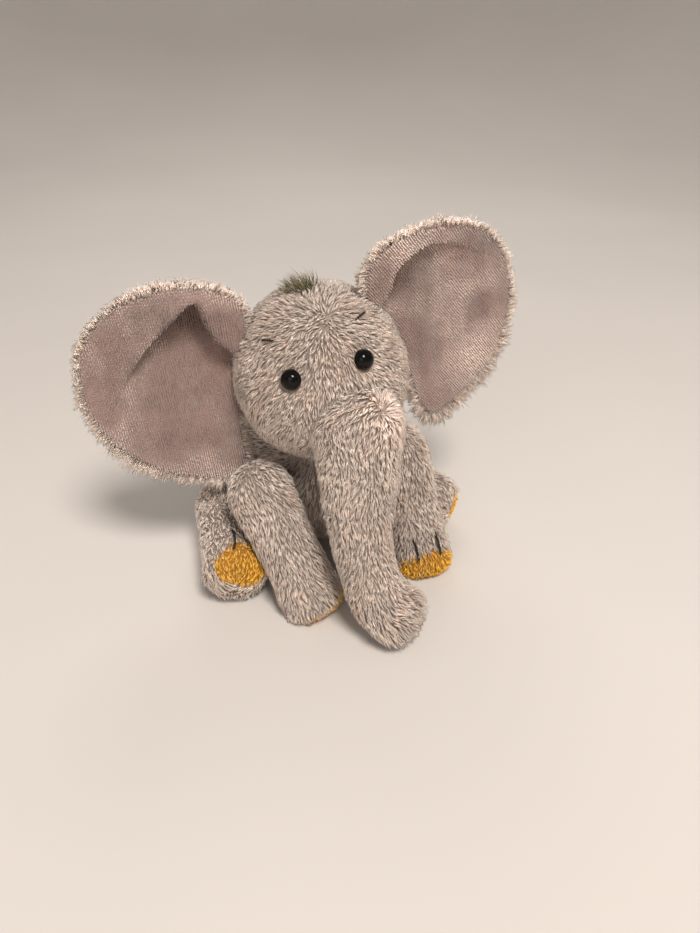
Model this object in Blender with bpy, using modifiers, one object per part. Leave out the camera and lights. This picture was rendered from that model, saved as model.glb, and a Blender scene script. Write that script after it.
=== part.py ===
"""A small sitting stuffed elephant, built from its sewn skins, fillings, eyes, soles and stitches.

Units are metres. +Z is up, the toy faces -Y, and its right side is -X. The origin is the middle of
the flat seat under the rump. Every limb is a body of its own: its empty sits on the joint, and its
pieces hang from that empty.
"""

import math

import bmesh
import bpy
from mathutils import Matrix, Vector

# Cloth and fits
GAP = 0.0003
SKIN = 0.0014
LINING = 0.0012
FILLING_PLAY = 0.0011
SOCKET_PLAY = 0.0013

# Torso: a pear between the rump's middle and the shoulders' middle
RUMP = Vector((0.0, 0.004, 0.032))
RUMP_RADIUS = 0.040
CHEST = Vector((-0.002, -0.037, 0.040))
CHEST_RADIUS = 0.0285
RUMP_WIDENING = 1.15
POUCH_CENTRE = Vector((0.0, 0.004, 0.0215))
POUCH_RADIUS = 0.021
POUCH_SEAT_ANGLE = math.radians(-70)
POUCH_MOUTH_ANGLE = math.radians(40)
POUCH_CLOTH = 0.0008

# Neck: a firm ball of filling that joins the torso and the head
NECK = Vector((-0.004, -0.041, 0.0685))
NECK_RADIUS = 0.0135

# Head: an egg, turned to the toy's right and tipped to the same side
HEAD = Vector((-0.005, -0.044, 0.110))
HEAD_HALF = Vector((0.0405, 0.0385, 0.0420))
HEAD_TURN = math.radians(-16)
HEAD_TIP = math.radians(-11)
EYE_SPREAD = 0.0163
EYE_RISE = 0.0155
EYE_RADIUS = 0.0046
EYE_HEIGHT = 0.0040
EYE_LIFT = 0.0005
SHANK_RADIUS = 0.0013
SHANK_LENGTH = 0.0062
WASHER_RADIUS = 0.0055
WASHER_THICKNESS = 0.0012
WASHER_SINK = 0.0016
EYE_BORE_LENGTH = 0.012
BROW_SPREAD = 0.0205
BROW_RISE = 0.0295
BROW_LENGTH = 0.0055
THREAD_RADIUS = 0.0004
HAIR_RADIUS = 0.0095
HAIR_HEIGHT = 0.0080

# Trunk: (middle of the section, radius), from the muzzle down to the curled tip
TRUNK_UPPER = (
    (Vector((-0.0060, -0.0815, 0.0960)), 0.0205),
    (Vector((-0.0085, -0.0870, 0.0875)), 0.0186),
    (Vector((-0.0108, -0.0918, 0.0780)), 0.0168),
    (Vector((-0.0125, -0.0957, 0.0690)), 0.0156),
    (Vector((-0.0136, -0.0987, 0.0615)), 0.0150),
)
TRUNK_LOWER = (
    (Vector((-0.0142, -0.1005, 0.0560)), 0.0128),
    (Vector((-0.0150, -0.1045, 0.0450)), 0.0124),
    (Vector((-0.0142, -0.1085, 0.0350)), 0.0120),
    (Vector((-0.0122, -0.1122, 0.0250)), 0.0128),
    (Vector((-0.0085, -0.1165, 0.0175)), 0.0134),
    (Vector((-0.0040, -0.1210, 0.0142)), 0.0130),
)
TRUNK_TIP_ROUND = 0.0075

# Ears: the outline in the head's own width and height, from the seam's top round to its bottom
EAR_OUTLINE = {
    "left": (
        (0.0270, 0.0290),
        (0.0270, 0.0430),
        (0.0350, 0.0530),
        (0.0500, 0.0575),
        (0.0670, 0.0560),
        (0.0835, 0.0500),
        (0.0970, 0.0400),
        (0.1045, 0.0260),
        (0.1060, 0.0080),
        (0.1020, -0.0090),
        (0.0940, -0.0230),
        (0.0810, -0.0350),
        (0.0665, -0.0440),
        (0.0540, -0.0470),
        (0.0470, -0.0390),
        (0.0445, -0.0240),
        (0.0430, -0.0110),
    ),
    "right": (
        (0.0270, 0.0290),
        (0.0270, 0.0430),
        (0.0350, 0.0535),
        (0.0500, 0.0600),
        (0.0690, 0.0605),
        (0.0865, 0.0550),
        (0.1005, 0.0440),
        (0.1085, 0.0285),
        (0.1100, 0.0090),
        (0.1055, -0.0095),
        (0.0970, -0.0240),
        (0.0830, -0.0360),
        (0.0670, -0.0445),
        (0.0540, -0.0470),
        (0.0470, -0.0390),
        (0.0445, -0.0240),
        (0.0430, -0.0110),
    ),
}
EAR_SEAM_GAP = 0.0020
EAR_HINGE_OUT = 0.003
EAR_BACK_THICKNESS = 0.0022
EAR_HEM = 0.0030
EAR_PLAY = 0.0014
EAR_SETBACK = 0.004
EAR_SWEEP_START = 0.035
EAR_CURL_START = 0.020
EAR_CURL_REACH = 0.037
EAR_SWEEP = {"left": 0.17, "right": -0.04}
EAR_CURL = {"left": 0.010, "right": 0.001}
EAR_RINGS = 3

# Legs: distance from the joint's middle towards the sole, and radius there
FRONT_LEG = ((0.000, 0.0150), (0.014, 0.0142), (0.034, 0.0134), (0.052, 0.0142), (0.061, 0.0144))
HIND_LEG = ((0.000, 0.0165), (0.014, 0.0158), (0.030, 0.0150), (0.040, 0.0152), (0.046, 0.0150))
SOLE_ROUND = 0.0075
TOE_STITCH_SPREAD = 0.0062
TOE_STITCH_LENGTH = 0.0130
TOE_STITCH_SHARE_ABOVE = 0.65
# name: (profile, middle of the joint, middle of the sole, way that the toes point, how far the
# sole's seam lies back from the foot's end over the toes, and how far at the heel). Below 0 at the
# heel, the leg's own cloth wraps over part of the foot's end.
LEGS = {
    "front_leg_right": (
        FRONT_LEG,
        Vector((-0.0435, -0.0520, 0.0560)),
        Vector((-0.0310, -0.0885, 0.0005)),
        Vector((1.0, 0.9, 0.3)),
        0.0105,
        0.0015,
    ),
    "front_leg_left": (
        FRONT_LEG,
        Vector((0.0365, -0.0520, 0.0560)),
        Vector((0.0350, -0.0870, 0.0005)),
        Vector((-0.35, -1.0, 1.0)),
        0.0150,
        0.0030,
    ),
    "hind_leg_right": (
        HIND_LEG,
        Vector((-0.0490, -0.0150, 0.0250)),
        Vector((-0.0655, -0.0660, 0.0165)),
        Vector((0.5, 0.0, 1.0)),
        0.0135,
        -0.0125,
    ),
    "hind_leg_left": (
        HIND_LEG,
        Vector((0.0490, -0.0140, 0.0250)),
        Vector((0.0620, -0.0630, 0.0160)),
        Vector((1.0, 0.6, -0.1)),
        0.0085,
        -0.0130,
    ),
}

# Tail
TAIL_ROOT = Vector((0.0, 0.0470, 0.0300))
TAIL_DIRECTION = Vector((0.0, 0.45, -0.60))
TAIL_LENGTH = 0.022
TAIL_RADIUS = 0.0030
TAIL_NECK = 0.005
TAIL_TAPER = 0.8
TAIL_BALL_RADIUS = 0.0045
TAIL_TUFT_RADIUS = 0.0050

# Fineness
TORSO_SIDES = 20
HEAD_SIDES = 20
ROUND_SIDES = 16
LIMB_SIDES = 14
FILLING_SIDES = 12
TURNED_SIDES = 14
DOME_STEPS = 5
POUCH_STEPS = 5
EAR_SEAM_STEPS = 5
BROW_STEPS = 4
TOE_STITCH_STEPS = 6

HALF_SPACE_SIZE = 0.12

# name: (colour, roughness)
FINISHES = {
    "plush": ((0.47, 0.39, 0.33, 1.0), 0.95),
    "lining": ((0.42, 0.27, 0.25, 1.0), 0.85),
    "amber": ((0.62, 0.29, 0.04, 1.0), 0.90),
    "olive": ((0.23, 0.21, 0.08, 1.0), 0.95),
    "filling": ((0.85, 0.84, 0.80, 1.0), 0.95),
    "pouch": ((0.80, 0.78, 0.72, 1.0), 0.85),
    "pellets": ((0.75, 0.77, 0.80, 1.0), 0.45),
    "eye": ((0.010, 0.009, 0.009, 1.0), 0.12),
    "washer": ((0.80, 0.80, 0.78, 1.0), 0.40),
    "thread": ((0.030, 0.022, 0.018, 1.0), 0.80),
}


def clear_scene():
    for item in list(bpy.data.objects):
        bpy.data.objects.remove(item, do_unlink=True)


def new_collection(name):
    collection = bpy.data.collections.new(name)
    bpy.context.scene.collection.children.link(collection)
    return collection


def new_material(name):
    colour, roughness = FINISHES[name]
    material = bpy.data.materials.new(name)
    material.use_nodes = True
    shader = material.node_tree.nodes["Principled BSDF"]
    shader.inputs["Base Color"].default_value = colour
    shader.inputs["Roughness"].default_value = roughness
    shader.inputs["Metallic"].default_value = 0.0
    material.diffuse_color = colour
    return material


clear_scene()
TOY = new_collection("stuffed_elephant")
CUTTERS = new_collection("cutters")
MATERIALS = {name: new_material(name) for name in FINISHES}
PLACES = {}


# ---------------------------------------------------------------- helpers


def joint_empty(name, matrix, parent=None):
    """An empty on a joint. matrix is its place in the world, which PLACES keeps for its children."""
    empty = bpy.data.objects.new(name, None)
    empty.empty_display_size = 0.01
    TOY.objects.link(empty)
    if parent is not None:
        empty.parent = parent
        empty.matrix_parent_inverse = PLACES[parent.name].inverted()
    empty.matrix_basis = matrix
    PLACES[name] = matrix.copy()
    return empty


def mesh_object(name, shape, material, parent, facing=None):
    """Makes a piece from a bmesh that is drawn in its parent empty's frame.

    facing is the side that an open sheet's faces are turned to.
    """
    bmesh.ops.recalc_face_normals(shape, faces=shape.faces)
    if facing is not None:
        total = sum((face.normal * face.calc_area() for face in shape.faces), Vector())
        if total.dot(Vector(facing)) < 0:
            bmesh.ops.reverse_faces(shape, faces=shape.faces)
    mesh = bpy.data.meshes.new(name)
    shape.to_mesh(mesh)
    shape.free()
    mesh.materials.append(MATERIALS[material])
    mesh.shade_smooth()
    mesh.set_sharp_from_angle(angle=math.radians(40))
    piece = bpy.data.objects.new(name, mesh)
    TOY.objects.link(piece)
    piece.parent = parent
    return piece


def cutter_object(name, shape, matrix):
    """A cutter stands free, so its matrix is its place in the world."""
    bmesh.ops.recalc_face_normals(shape, faces=shape.faces)
    mesh = bpy.data.meshes.new(name)
    shape.to_mesh(mesh)
    shape.free()
    cutter = bpy.data.objects.new(name, mesh)
    CUTTERS.objects.link(cutter)
    cutter.matrix_world = matrix
    cutter.hide_render = True
    cutter.display_type = "WIRE"
    return cutter


def cut(piece, cutter, operation="DIFFERENCE"):
    boolean = piece.modifiers.new(cutter.name, "BOOLEAN")
    boolean.operation = operation
    boolean.object = cutter


def thicken(piece, thickness, offset=-1.0):
    shell = piece.modifiers.new("cloth", "SOLIDIFY")
    shell.thickness = thickness
    shell.offset = offset
    shell.use_even_offset = True


def frame_between(start, end, up_hint):
    """A frame at start whose -Z runs to end and whose -Y leans towards up_hint."""
    z_axis = (start - end).normalized()
    y_axis = -(up_hint - up_hint.project(z_axis)).normalized()
    x_axis = y_axis.cross(z_axis)
    turn = Matrix((x_axis, y_axis, z_axis)).transposed().to_4x4()
    return Matrix.Translation(start) @ turn


def sphere_shape(radius, sides=ROUND_SIDES, scale=(1.0, 1.0, 1.0)):
    shape = bmesh.new()
    bmesh.ops.create_uvsphere(shape, u_segments=sides, v_segments=sides // 2, radius=radius)
    bmesh.ops.scale(shape, vec=Vector(scale), verts=shape.verts)
    return shape


def cylinder_shape(radius, depth, sides=12):
    shape = bmesh.new()
    bmesh.ops.create_cone(
        shape, cap_ends=True, segments=sides, radius1=radius, radius2=radius, depth=depth
    )
    return shape


def loft_shape(sections, sides, close_first, close_last):
    """Joins round sections. Each is (middle, radius, direction of travel)."""
    shape = bmesh.new()
    rings = []
    side_axis = Vector((1.0, 0.0, 0.0))
    for middle, radius, travel in sections:
        side_axis = (side_axis - side_axis.project(travel)).normalized()
        other_axis = travel.cross(side_axis).normalized()
        ring = []
        for index in range(sides):
            angle = math.tau * index / sides
            offset = side_axis * math.cos(angle) + other_axis * math.sin(angle)
            ring.append(shape.verts.new(middle + offset * radius))
        rings.append(ring)
    for lower, upper in zip(rings, rings[1:]):
        for index in range(sides):
            following = (index + 1) % sides
            shape.faces.new((lower[index], lower[following], upper[following], upper[index]))
    if close_first:
        shape.faces.new(list(reversed(rings[0])))
    if close_last:
        shape.faces.new(rings[-1])
    return shape


def rounded_end(middle, radius, travel, length, steps=3):
    """Sections that close a limb with a rounded end of the given length."""
    sections = []
    for step in range(1, steps + 1):
        angle = math.pi / 2 * step / (steps + 0.35)
        along = length * math.sin(angle)
        sections.append((middle + travel * along, radius * math.cos(angle), travel))
    return sections


def rounded_start(middle, radius, travel, first_angle=62, steps=3):
    """Sections of the ball at a limb's root, from its open ring to just short of its middle."""
    sections = []
    for step in range(steps):
        angle = math.radians(first_angle) * (1 - step / steps)
        along = -radius * math.sin(angle)
        sections.append((middle + travel * along, radius * math.cos(angle), travel))
    return sections


def limb_sections(profile, inset, end_round):
    """Sections of a straight limb down its own -Z, with its cloth's thickness taken off."""
    down = Vector((0.0, 0.0, -1.0))
    sections = rounded_start(Vector(), profile[0][1] - inset, down)
    for distance, radius in profile:
        sections.append((down * distance, radius - inset, down))
    last_distance, last_radius = profile[-1]
    sections += rounded_end(down * last_distance, last_radius - inset, down, end_round - inset)
    return sections


# ---------------------------------------------------------------- torso


def torso_shape(inset):
    """A pear with rings square to its spine, flat where it sits."""
    shape = sphere_shape(1.0, sides=TORSO_SIDES)
    axis = (CHEST - RUMP).normalized()
    side = Vector((1.0, 0.0, 0.0))
    side = (side - side.project(axis)).normalized()
    other = axis.cross(side)
    for vert in shape.verts:
        rise = vert.co.z
        share = (1 + rise) / 2
        share = share * share * (3 - 2 * share)
        middle = RUMP.lerp(CHEST, share)
        radius = RUMP_RADIUS + (CHEST_RADIUS - RUMP_RADIUS) * share - inset
        widening = RUMP_WIDENING + (1 - RUMP_WIDENING) * share
        spread = vert.co.x * widening * side + vert.co.y * other
        vert.co = middle + radius * (spread + rise * axis)
        vert.co.z = max(vert.co.z, inset)
    return shape


def pouch_shape(inset, open_top, base=None):
    """The pellet pouch: a ball cut flat where it sits and at its mouth, or drawn down to base."""
    up = Vector((0.0, 0.0, 1.0))
    sections = []
    radius = POUCH_RADIUS - inset
    for step in range(POUCH_STEPS + 1):
        angle = POUCH_SEAT_ANGLE + (POUCH_MOUTH_ANGLE - POUCH_SEAT_ANGLE) * step / POUCH_STEPS
        middle = POUCH_CENTRE + up * radius * math.sin(angle)
        sections.append((middle, radius * math.cos(angle), up))
    if base is not None:
        first_middle, first_radius, _ = sections[0]
        sections.insert(0, (Vector((first_middle.x, first_middle.y, base)), first_radius, up))
    return loft_shape(sections, ROUND_SIDES, True, not open_top)


def build_torso(body):
    skin = mesh_object("torso_skin", torso_shape(0.0), "plush", body)
    thicken(skin, SKIN)
    stuffing = mesh_object("torso_stuffing", torso_shape(SKIN + FILLING_PLAY), "filling", body)
    pouch = mesh_object("pellet_pouch", pouch_shape(0.0, True), "pouch", body)
    thicken(pouch, POUCH_CLOTH)
    mesh_object("pellet_fill", pouch_shape(POUCH_CLOTH + GAP, False), "pellets", body)
    pocket = cutter_object("pouch_pocket", pouch_shape(-GAP, False, base=0.0), Matrix())
    cut(stuffing, pocket)
    return skin, stuffing


# ---------------------------------------------------------------- head and neck


def head_frame():
    turn = Matrix.Rotation(HEAD_TURN, 4, "Z") @ Matrix.Rotation(HEAD_TIP, 4, "Y")
    return Matrix.Translation(HEAD) @ turn


def egg_shape(inset):
    half = HEAD_HALF - Vector((inset, inset, inset))
    return sphere_shape(1.0, sides=HEAD_SIDES, scale=half)


def face_frame(width, height):
    """A frame on the face's surface, with its +Z straight out of the skin."""
    share = 1 - (width / HEAD_HALF.x) ** 2 - (height / HEAD_HALF.z) ** 2
    point = Vector((width, -HEAD_HALF.y * math.sqrt(share), height))
    outward = Vector(
        (point.x / HEAD_HALF.x**2, point.y / HEAD_HALF.y**2, point.z / HEAD_HALF.z**2)
    ).normalized()
    turn = outward.to_track_quat("Z", "Y").to_matrix().to_4x4()
    return Matrix.Translation(point) @ turn


def turned_object(name, profile, closed, material, parent, matrix):
    """A turned piece: the profile is (radius, height), from the top down its outer side."""
    mesh = bpy.data.meshes.new(name)
    points = [(radius, 0.0, height) for radius, height in profile]
    edges = [(index, index + 1) for index in range(len(points) - 1)]
    if closed:
        edges.append((len(points) - 1, 0))
    mesh.from_pydata(points, edges, [])
    mesh.materials.append(MATERIALS[material])
    piece = bpy.data.objects.new(name, mesh)
    TOY.objects.link(piece)
    piece.parent = parent
    piece.matrix_basis = matrix
    screw = piece.modifiers.new("turn", "SCREW")
    screw.steps = TURNED_SIDES
    screw.render_steps = TURNED_SIDES
    screw.use_merge_vertices = True
    screw.merge_threshold = 0.00001
    return piece


def thread_object(name, points, radius, material, parent):
    curve = bpy.data.curves.new(name, "CURVE")
    curve.dimensions = "3D"
    curve.bevel_depth = radius
    curve.bevel_resolution = 0
    curve.use_fill_caps = True
    spline = curve.splines.new("POLY")
    spline.points.add(len(points) - 1)
    for target, point in zip(spline.points, points):
        target.co = (*point, 1.0)
    curve.materials.append(MATERIALS[material])
    piece = bpy.data.objects.new(name, curve)
    TOY.objects.link(piece)
    piece.parent = parent
    return piece


def build_eye(side_name, side, head_middle, skin, stuffing):
    place = face_frame(side * EYE_SPREAD, EYE_RISE)
    dome = [(0.0, EYE_LIFT + EYE_HEIGHT)]
    for step in range(1, DOME_STEPS + 1):
        angle = math.pi / 2 * (1 - step / DOME_STEPS)
        dome.append((EYE_RADIUS * math.cos(angle), EYE_LIFT + EYE_HEIGHT * math.sin(angle)))
    shank = [(SHANK_RADIUS, EYE_LIFT), (SHANK_RADIUS, -SHANK_LENGTH), (0.0, -SHANK_LENGTH)]
    turned_object("eye_" + side_name, dome + shank, False, "eye", head_middle, place)

    washer_top = -(SKIN + WASHER_SINK)
    washer_bottom = washer_top - WASHER_THICKNESS
    hole = SHANK_RADIUS + GAP
    ring = [
        (WASHER_RADIUS, washer_top),
        (WASHER_RADIUS, washer_bottom),
        (hole, washer_bottom),
        (hole, washer_top),
    ]
    turned_object("eye_washer_" + side_name, ring, True, "washer", head_middle, place)

    world = head_frame() @ place
    bore = cutter_object("eye_bore_" + side_name, cylinder_shape(hole, EYE_BORE_LENGTH), world)
    pocket_depth = SHANK_LENGTH + GAP
    pocket = cutter_object(
        "eye_pocket_" + side_name,
        cylinder_shape(WASHER_RADIUS + GAP, 2 * pocket_depth, sides=16),
        world,
    )
    cut(skin, bore)
    cut(stuffing, pocket)


def build_brow(side_name, side, head_middle):
    points = []
    for step in range(BROW_STEPS + 1):
        width = BROW_SPREAD + BROW_LENGTH * (step / BROW_STEPS - 0.5)
        place = face_frame(side * width, BROW_RISE)
        points.append(place @ Vector((0.0, 0.0, THREAD_RADIUS + GAP)))
    thread_object("brow_stitch_" + side_name, points, THREAD_RADIUS, "thread", head_middle)


def build_head(head):
    head_middle = joint_empty("head_middle", head_frame(), head)
    skin = mesh_object("head_skin", egg_shape(0.0), "plush", head_middle)
    thicken(skin, SKIN)
    stuffing = mesh_object("head_stuffing", egg_shape(SKIN + FILLING_PLAY), "filling", head_middle)
    for side_name, side in (("left", 1), ("right", -1)):
        build_eye(side_name, side, head_middle, skin, stuffing)
        build_brow(side_name, side, head_middle)
    crown = Matrix.Translation((0.0, 0.0, HEAD_HALF.z))
    hair = mesh_object("hair_tuft", sphere_shape(HAIR_RADIUS, sides=14), "olive", head_middle)
    hair.matrix_basis = crown @ Matrix.Diagonal((1.0, 1.0, HAIR_HEIGHT / HAIR_RADIUS, 1.0))
    cut(hair, cutter_object("head_outside", egg_shape(-GAP), head_frame()))
    return head_middle, skin, stuffing


# ---------------------------------------------------------------- trunk


def path_sections(stations, origin, inset):
    sections = []
    for index, (middle, radius) in enumerate(stations):
        before = stations[max(index - 1, 0)][0]
        after = stations[min(index + 1, len(stations) - 1)][0]
        sections.append((middle - origin, radius - inset, (after - before).normalized()))
    return sections


def trunk_shape(stations, inset, sides, open_start, open_end, end_round=None):
    origin = stations[0][0]
    sections = path_sections(stations, origin, inset)
    first_middle, first_radius, first_travel = sections[0]
    sections = rounded_start(first_middle, first_radius, first_travel) + sections
    if end_round is not None:
        last_middle, last_radius, last_travel = sections[-1]
        sections += rounded_end(last_middle, last_radius, last_travel, end_round - inset)
    return loft_shape(sections, sides, not open_start, not open_end)


def build_trunk(upper, lower):
    inset = SKIN + FILLING_PLAY
    shape = trunk_shape(TRUNK_UPPER, 0.0, LIMB_SIDES, True, True)
    upper_skin = mesh_object("trunk_upper_skin", shape, "plush", upper)
    thicken(upper_skin, SKIN)
    shape = trunk_shape(TRUNK_UPPER, inset, FILLING_SIDES, False, False)
    upper_filling = mesh_object("trunk_upper_stuffing", shape, "filling", upper)
    shape = trunk_shape(TRUNK_LOWER, 0.0, LIMB_SIDES, True, False, TRUNK_TIP_ROUND)
    lower_skin = mesh_object("trunk_lower_skin", shape, "plush", lower)
    thicken(lower_skin, SKIN)
    shape = trunk_shape(TRUNK_LOWER, inset, FILLING_SIDES, False, False, TRUNK_TIP_ROUND)
    mesh_object("trunk_lower_stuffing", shape, "filling", lower)
    return upper_skin, upper_filling


# ---------------------------------------------------------------- ears


def head_half_width(height):
    return HEAD_HALF.x * math.sqrt(1 - (height / HEAD_HALF.z) ** 2)


def ear_outline(side_name, inset):
    """The ear's outline as (width, height), its seam following the side of the head."""
    free_edge = [Vector(point) for point in EAR_OUTLINE[side_name]]
    seam = []
    top = free_edge[0].y
    bottom = free_edge[-1].y
    for step in range(1, EAR_SEAM_STEPS):
        height = bottom + (top - bottom) * step / EAR_SEAM_STEPS
        seam.append(Vector((head_half_width(height) + EAR_SEAM_GAP, height)))
    outline = free_edge + seam
    outline[0].x = head_half_width(top) + EAR_SEAM_GAP
    outline[len(free_edge) - 1].x = head_half_width(bottom) + EAR_SEAM_GAP
    middle = sum(outline, Vector((0.0, 0.0))) / len(outline)
    return [point + (middle - point).normalized() * inset for point in outline], middle


def ear_depth(side_name, width, height):
    """How far the ear stands behind the head's middle plane, at a place on it."""
    curl = EAR_CURL[side_name] * max(0.0, (height - EAR_CURL_START) / EAR_CURL_REACH) ** 2
    return EAR_SETBACK + EAR_SWEEP[side_name] * (width - EAR_SWEEP_START) - curl


def ear_plate(side_name, side, hinge, inset, shift):
    outline, middle = ear_outline(side_name, inset)

    def place_on_ear(flat):
        depth = ear_depth(side_name, flat.x, flat.y) + shift
        return Vector((side * flat.x, depth, flat.y)) - hinge

    shape = bmesh.new()
    rings = []
    for ring_index in range(EAR_RINGS):
        share = 1 - ring_index / EAR_RINGS
        flat_ring = [middle + (point - middle) * share for point in outline]
        rings.append([shape.verts.new(place_on_ear(flat)) for flat in flat_ring])
    centre = shape.verts.new(place_on_ear(middle))
    count = len(outline)
    for outer, inner in zip(rings, rings[1:]):
        for index in range(count):
            following = (index + 1) % count
            shape.faces.new((outer[index], outer[following], inner[following], inner[index]))
    for index in range(count):
        shape.faces.new((rings[-1][index], rings[-1][(index + 1) % count], centre))
    return shape


def ear_hinge(side_name, side):
    top = EAR_OUTLINE[side_name][0][1]
    bottom = EAR_OUTLINE[side_name][-1][1]
    height = (top + bottom) / 2
    width = (head_half_width(top) + head_half_width(bottom)) / 2 + EAR_HINGE_OUT
    return Vector((side * width, EAR_SETBACK, height))


def build_ear(side_name, side, head_middle):
    hinge = ear_hinge(side_name, side)
    ear = joint_empty("ear_" + side_name, head_frame() @ Matrix.Translation(hinge), head_middle)
    shape = ear_plate(side_name, side, hinge, 0.0, EAR_PLAY / 2)
    back = mesh_object("ear_back_" + side_name, shape, "plush", ear, facing=(0, 1, 0))
    thicken(back, EAR_BACK_THICKNESS, offset=1.0)
    shape = ear_plate(side_name, side, hinge, EAR_HEM, -EAR_PLAY / 2)
    lining = mesh_object("ear_lining_" + side_name, shape, "lining", ear, facing=(0, -1, 0))
    thicken(lining, LINING, offset=1.0)


# ---------------------------------------------------------------- legs


def limb_radius(profile, distance):
    """The radius of a limb at a distance from its joint, its rounded end included."""
    last_distance, last_radius = profile[-1]
    if distance >= last_distance:
        share = min((distance - last_distance) / SOLE_ROUND, 1.0)
        return last_radius * math.sqrt(1 - share**2)
    for (start, start_radius), (end, end_radius) in zip(profile, profile[1:]):
        if start <= distance <= end:
            return start_radius + (end_radius - start_radius) * (distance - start) / (end - start)
    return profile[0][1]


def sole_plane(profile, toe_back, heel_back):
    """The seam between leg and sole: further back over the toes than at the heel."""
    length = profile[-1][0] + SOLE_ROUND
    radius = profile[-1][1]
    toe = Vector((0.0, -radius, -(length - toe_back)))
    heel = Vector((0.0, radius, -(length - heel_back)))
    normal = Vector((1.0, 0.0, 0.0)).cross(heel - toe).normalized()
    if normal.z > 0:
        normal = -normal
    return toe, normal


def half_space(name, place, point, normal):
    """A box cutter that fills the side of a plane that the normal points to."""
    shape = bmesh.new()
    bmesh.ops.create_cube(shape, size=HALF_SPACE_SIZE)
    turn = normal.to_track_quat("Z", "Y").to_matrix().to_4x4()
    box = Matrix.Translation(point + normal * (HALF_SPACE_SIZE / 2)) @ turn
    return cutter_object(name, shape, place @ box)


def build_leg(name, profile, place, seam_backs, body):
    leg = joint_empty(name, place, body)
    seam_point, seam_normal = sole_plane(profile, *seam_backs)
    half_gap = seam_normal * (GAP / 2)

    for piece_name, material, side in (("_skin", "plush", 1), ("_sole", "amber", -1)):
        whole = loft_shape(limb_sections(profile, 0.0, SOLE_ROUND), LIMB_SIDES, False, True)
        piece = mesh_object(name + piece_name, whole, material, leg)
        thicken(piece, SKIN)
        waste = half_space(
            name + piece_name + "_waste", place, seam_point - side * half_gap, side * seam_normal
        )
        cut(piece, waste)

    sections = limb_sections(profile, SKIN + FILLING_PLAY, SOLE_ROUND)
    inside = loft_shape(sections, FILLING_SIDES, True, True)
    mesh_object(name + "_stuffing", inside, "filling", leg)

    seam_distance = -seam_point.z
    for stitch_name, side in (("inner", 1), ("outer", -1)):
        points = []
        for step in range(TOE_STITCH_STEPS + 1):
            past_seam = step / TOE_STITCH_STEPS - TOE_STITCH_SHARE_ABOVE
            distance = seam_distance + TOE_STITCH_LENGTH * past_seam
            radius = limb_radius(profile, distance) + THREAD_RADIUS + GAP
            width = side * TOE_STITCH_SPREAD
            points.append(Vector((width, -math.sqrt(radius**2 - width**2), -distance)))
        thread_object(f"{name}_toe_stitch_{stitch_name}", points, THREAD_RADIUS, "thread", leg)


# ---------------------------------------------------------------- tail


def build_tail(tail):
    down = Vector((0.0, 0.0, -1.0))
    sections = rounded_start(Vector(), TAIL_BALL_RADIUS, down, first_angle=70)
    sections.append((Vector(), TAIL_BALL_RADIUS, down))
    sections.append((down * TAIL_NECK, TAIL_RADIUS, down))
    sections.append((down * TAIL_LENGTH, TAIL_RADIUS * TAIL_TAPER, down))
    mesh_object("tail_skin", loft_shape(sections, 12, True, True), "plush", tail)
    tuft = mesh_object("tail_tuft", sphere_shape(TAIL_TUFT_RADIUS, sides=12), "olive", tail)
    tuft.location = down * (TAIL_LENGTH + TAIL_TUFT_RADIUS + GAP)


# ---------------------------------------------------------------- the toy


def build_toy():
    body = joint_empty("body", Matrix())
    torso_skin, torso_stuffing = build_torso(body)
    torso_cloths = (torso_skin, torso_stuffing)

    neck = joint_empty("neck", Matrix.Translation(NECK), body)
    mesh_object("neck_stuffing", sphere_shape(NECK_RADIUS, sides=16), "filling", neck)
    head = joint_empty("head", Matrix.Translation(NECK), neck)
    head_middle, head_skin, head_stuffing = build_head(head)
    neck_socket = cutter_object(
        "neck_socket", sphere_shape(NECK_RADIUS + SOCKET_PLAY, sides=16), Matrix.Translation(NECK)
    )
    for piece in (*torso_cloths, head_skin, head_stuffing):
        cut(piece, neck_socket)

    muzzle, muzzle_radius = TRUNK_UPPER[0]
    bend, bend_radius = TRUNK_LOWER[0]
    trunk_upper = joint_empty("trunk_upper", Matrix.Translation(muzzle), head_middle)
    trunk_lower = joint_empty("trunk_lower", Matrix.Translation(bend), trunk_upper)
    upper_skin, upper_stuffing = build_trunk(trunk_upper, trunk_lower)
    muzzle_socket = cutter_object(
        "muzzle_socket", sphere_shape(muzzle_radius + SOCKET_PLAY), Matrix.Translation(muzzle)
    )
    bend_socket = cutter_object(
        "bend_socket", sphere_shape(bend_radius + SOCKET_PLAY), Matrix.Translation(bend)
    )
    for piece in (head_skin, head_stuffing):
        cut(piece, muzzle_socket)
    for piece in (upper_skin, upper_stuffing):
        cut(piece, bend_socket)

    for side_name, side in (("left", 1), ("right", -1)):
        build_ear(side_name, side, head_middle)

    for name, (profile, root, sole, toes, *seam_backs) in LEGS.items():
        place = frame_between(root, sole, toes)
        build_leg(name, profile, place, seam_backs, body)
        socket = cutter_object(
            name + "_socket",
            sphere_shape(profile[0][1] + SOCKET_PLAY),
            Matrix.Translation(root),
        )
        for piece in torso_cloths:
            cut(piece, socket)

    tail_place = frame_between(TAIL_ROOT, TAIL_ROOT + TAIL_DIRECTION, Vector((0.0, 1.0, 1.0)))
    tail = joint_empty("tail", tail_place, body)
    build_tail(tail)
    tail_socket = cutter_object(
        "tail_socket",
        sphere_shape(TAIL_BALL_RADIUS + SOCKET_PLAY, sides=12),
        Matrix.Translation(TAIL_ROOT),
    )
    for piece in torso_cloths:
        cut(piece, tail_socket)


build_toy()
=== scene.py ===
"""The looks of a small sitting stuffed elephant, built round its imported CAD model.

Units are metres, in the model's own frame: +Z is up and the toy faces -Y. Each cloth skin is a
closed mesh that stands for its CAD solid. The pile on it is real geometry too: thousands of small
tapered tufts, combed by a flow field, that ride with the skin they grow from.
"""

import math

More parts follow.
